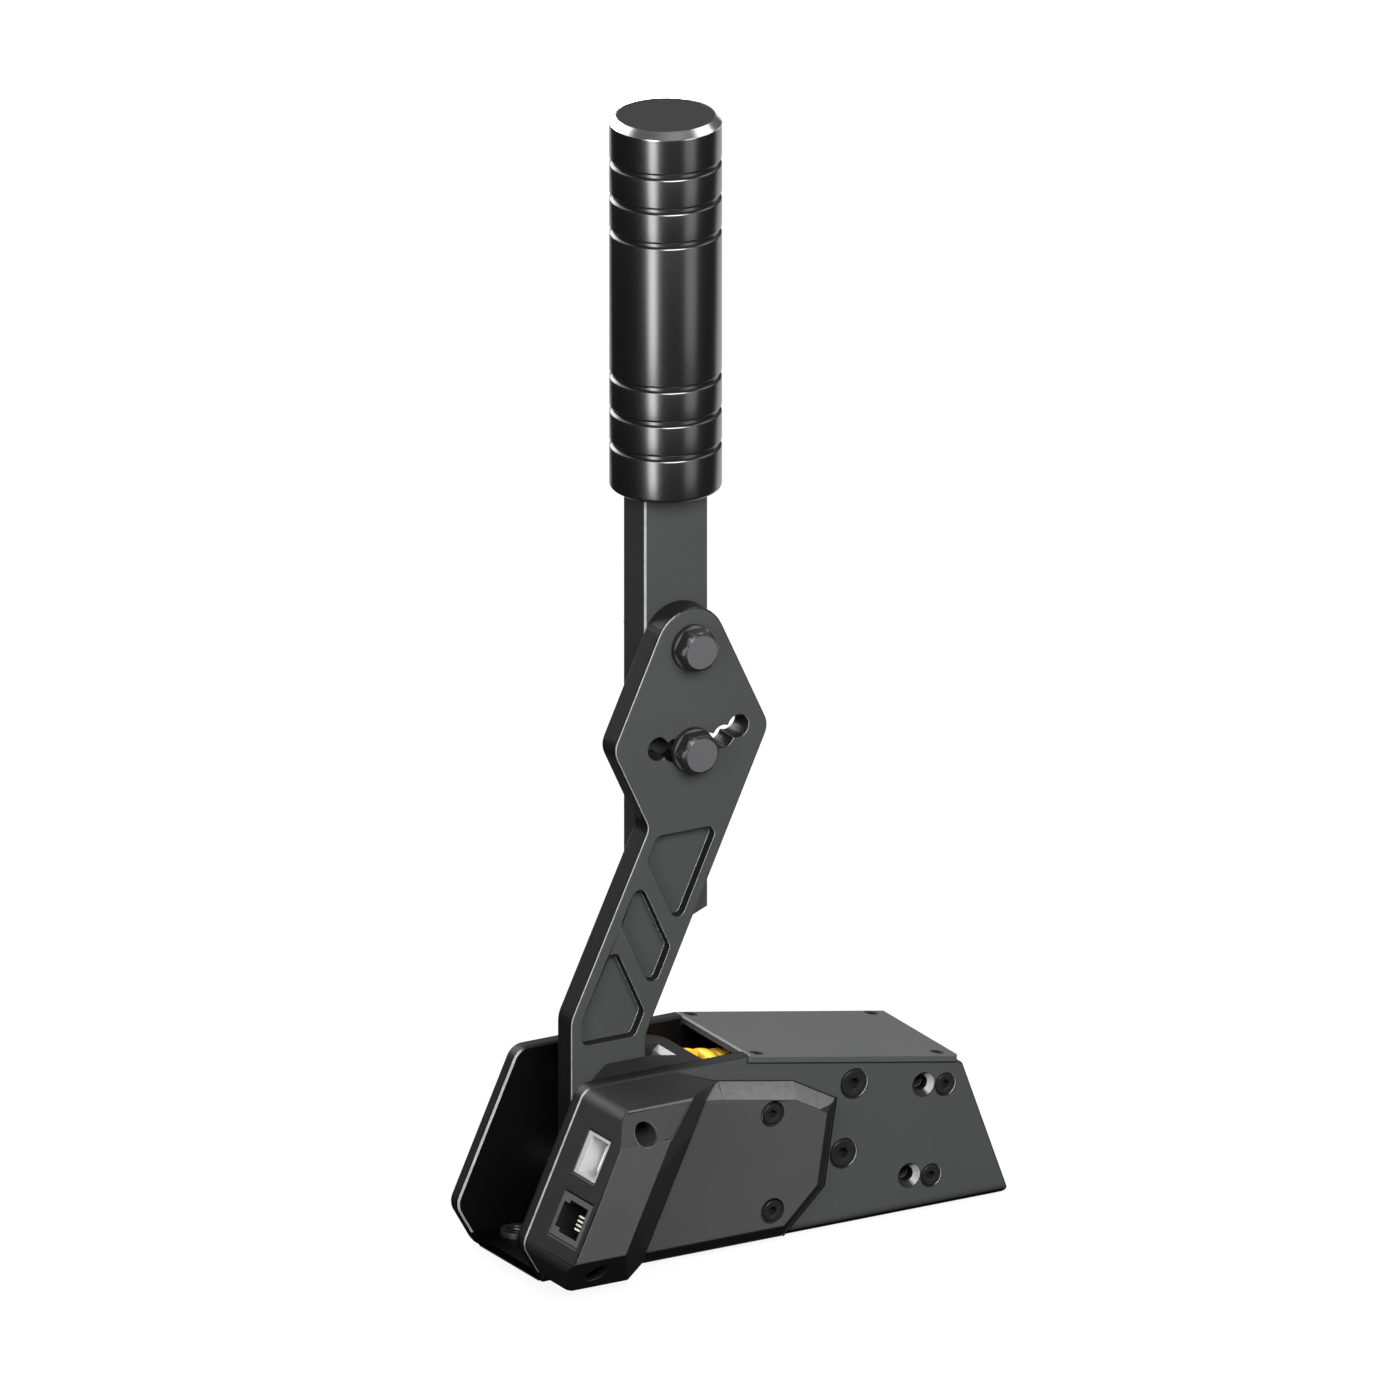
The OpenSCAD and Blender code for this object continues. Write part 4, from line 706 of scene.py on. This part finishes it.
# %% [markdown]
# ## Studio
# The floor is a large plane that the camera and reflections see as white. A narrow and a
# wide strip stand on the left and the right of the camera, one panel hangs in front and
# to the right, a broad lamp above and behind, and a fainter one lights the far side. Two
# cards show only on glossy surfaces. On the floor round the object, except behind it, lies
# a black cloth that only reflections see: it keeps the dark parts from looking grey.

# %% Studio
FLOOR_HALF, FLOOR_Z, FLOOR_GLOW = 4, -0.0004, 0.9
CLOTH_NEAR, CLOTH_FAR, CLOTH_Z, CLOTH_STEPS = 0.02, 3.0, 0.0005, 25
WORLD_GLOW = 0.08
AIM = Vector((0, 0, 0.14))


def add_object(name, data):
    o = bpy.data.objects.new(name, data)
    bpy.context.scene.collection.objects.link(o)
    return o


def matt(name, tone):
    """A material without any gloss, and its shader."""
    m = bpy.data.materials.new(name)
    m.use_nodes = True
    bsdf = m.node_tree.nodes["Principled BSDF"]
    bsdf.inputs["Base Color"].default_value = (tone, tone, tone, 1)
    bsdf.inputs["Roughness"].default_value = 1.0
    bsdf.inputs["Specular IOR Level"].default_value = 0.0
    return m, bsdf


corners = [(x * FLOOR_HALF, y * FLOOR_HALF, FLOOR_Z)
           for x, y in ((-1, -1), (1, -1), (1, 1), (-1, 1))]
floor_mesh = bpy.data.meshes.new("studio_floor")
floor_mesh.from_pydata(corners, [], [(0, 1, 2, 3)])
studio_floor = add_object("studio_floor", floor_mesh)
pale, shader = matt("pale_floor", 0.08)
t = pale.node_tree
rays = t.nodes.new("ShaderNodeLightPath")
seen = calc(t, "MAXIMUM", rays.outputs["Is Camera Ray"], rays.outputs["Is Glossy Ray"])
seen = calc(t, "MAXIMUM", seen, rays.outputs["Is Transmission Ray"])
t.links.new(calc(t, "MULTIPLY", seen, FLOOR_GLOW), shader.inputs["Emission Strength"])
shader.inputs["Emission Color"].default_value = (1, 1, 1, 1)
floor_mesh.materials.append(pale)

camera_turn = math.atan2(back[1], back[0])


def lamp(name, turn, far, z, wide, tall, power):
    """A panel aimed at the object; turn is degrees to the right of the camera's direction."""
    a = math.radians(turn) + camera_turn
    light = bpy.data.lights.new(name, "AREA")
    light.shape, light.size, light.size_y, light.energy = "RECTANGLE", wide, tall, power
    o = add_object(name, light)
    o.location = (far * math.cos(a), far * math.sin(a), z)
    o.rotation_euler = (AIM - Vector(o.location)).to_track_quat("-Z", "Y").to_euler()
    o.visible_camera = False
    return o


lamp("left_strip", -28, 0.45, 0.2, 0.12, 0.5, 1.45)
lamp("right_strip", 51, 0.5, 0.2, 0.22, 0.4, 0.36)
lamp("right_panel", 18, 0.85, 0.72, 0.7, 0.45, 20)
lamp("top", 165, 0.75, 1.35, 0.8, 0.8, 28)
lamp("far_fill", -140, 1.1, 0.55, 0.7, 0.7, 8)
for name, turn in (("left_card", -118), ("right_card", 100)):
    lamp(name, turn, 0.8, 0.78, 0.6, 0.6, 1.6).visible_diffuse = False

cloth_turn = np.radians(np.linspace(-150, 128, CLOTH_STEPS + 1)) + camera_turn
cloth_points = [(r * math.cos(a), r * math.sin(a), CLOTH_Z)
                for a in cloth_turn for r in (CLOTH_NEAR, CLOTH_FAR)]
cloth_faces = [(2 * i, 2 * i + 1, 2 * i + 3, 2 * i + 2) for i in range(CLOTH_STEPS)]
cloth_mesh = bpy.data.meshes.new("black_cloth")
cloth_mesh.from_pydata(cloth_points, [], cloth_faces)
cloth_mesh.materials.append(matt("black_cloth", 0.01)[0])
cloth = add_object("black_cloth", cloth_mesh)
cloth.visible_camera = cloth.visible_shadow = cloth.visible_diffuse = False

world = bpy.data.worlds.new("studio")
bpy.context.scene.world = world
world.use_nodes = True
world_light = world.node_tree.nodes["Background"]
world_light.inputs["Color"].default_value = (1, 1, 1, 1)
world_light.inputs["Strength"].default_value = WORLD_GLOW
bpy.context.scene.view_settings.view_transform = "Standard"
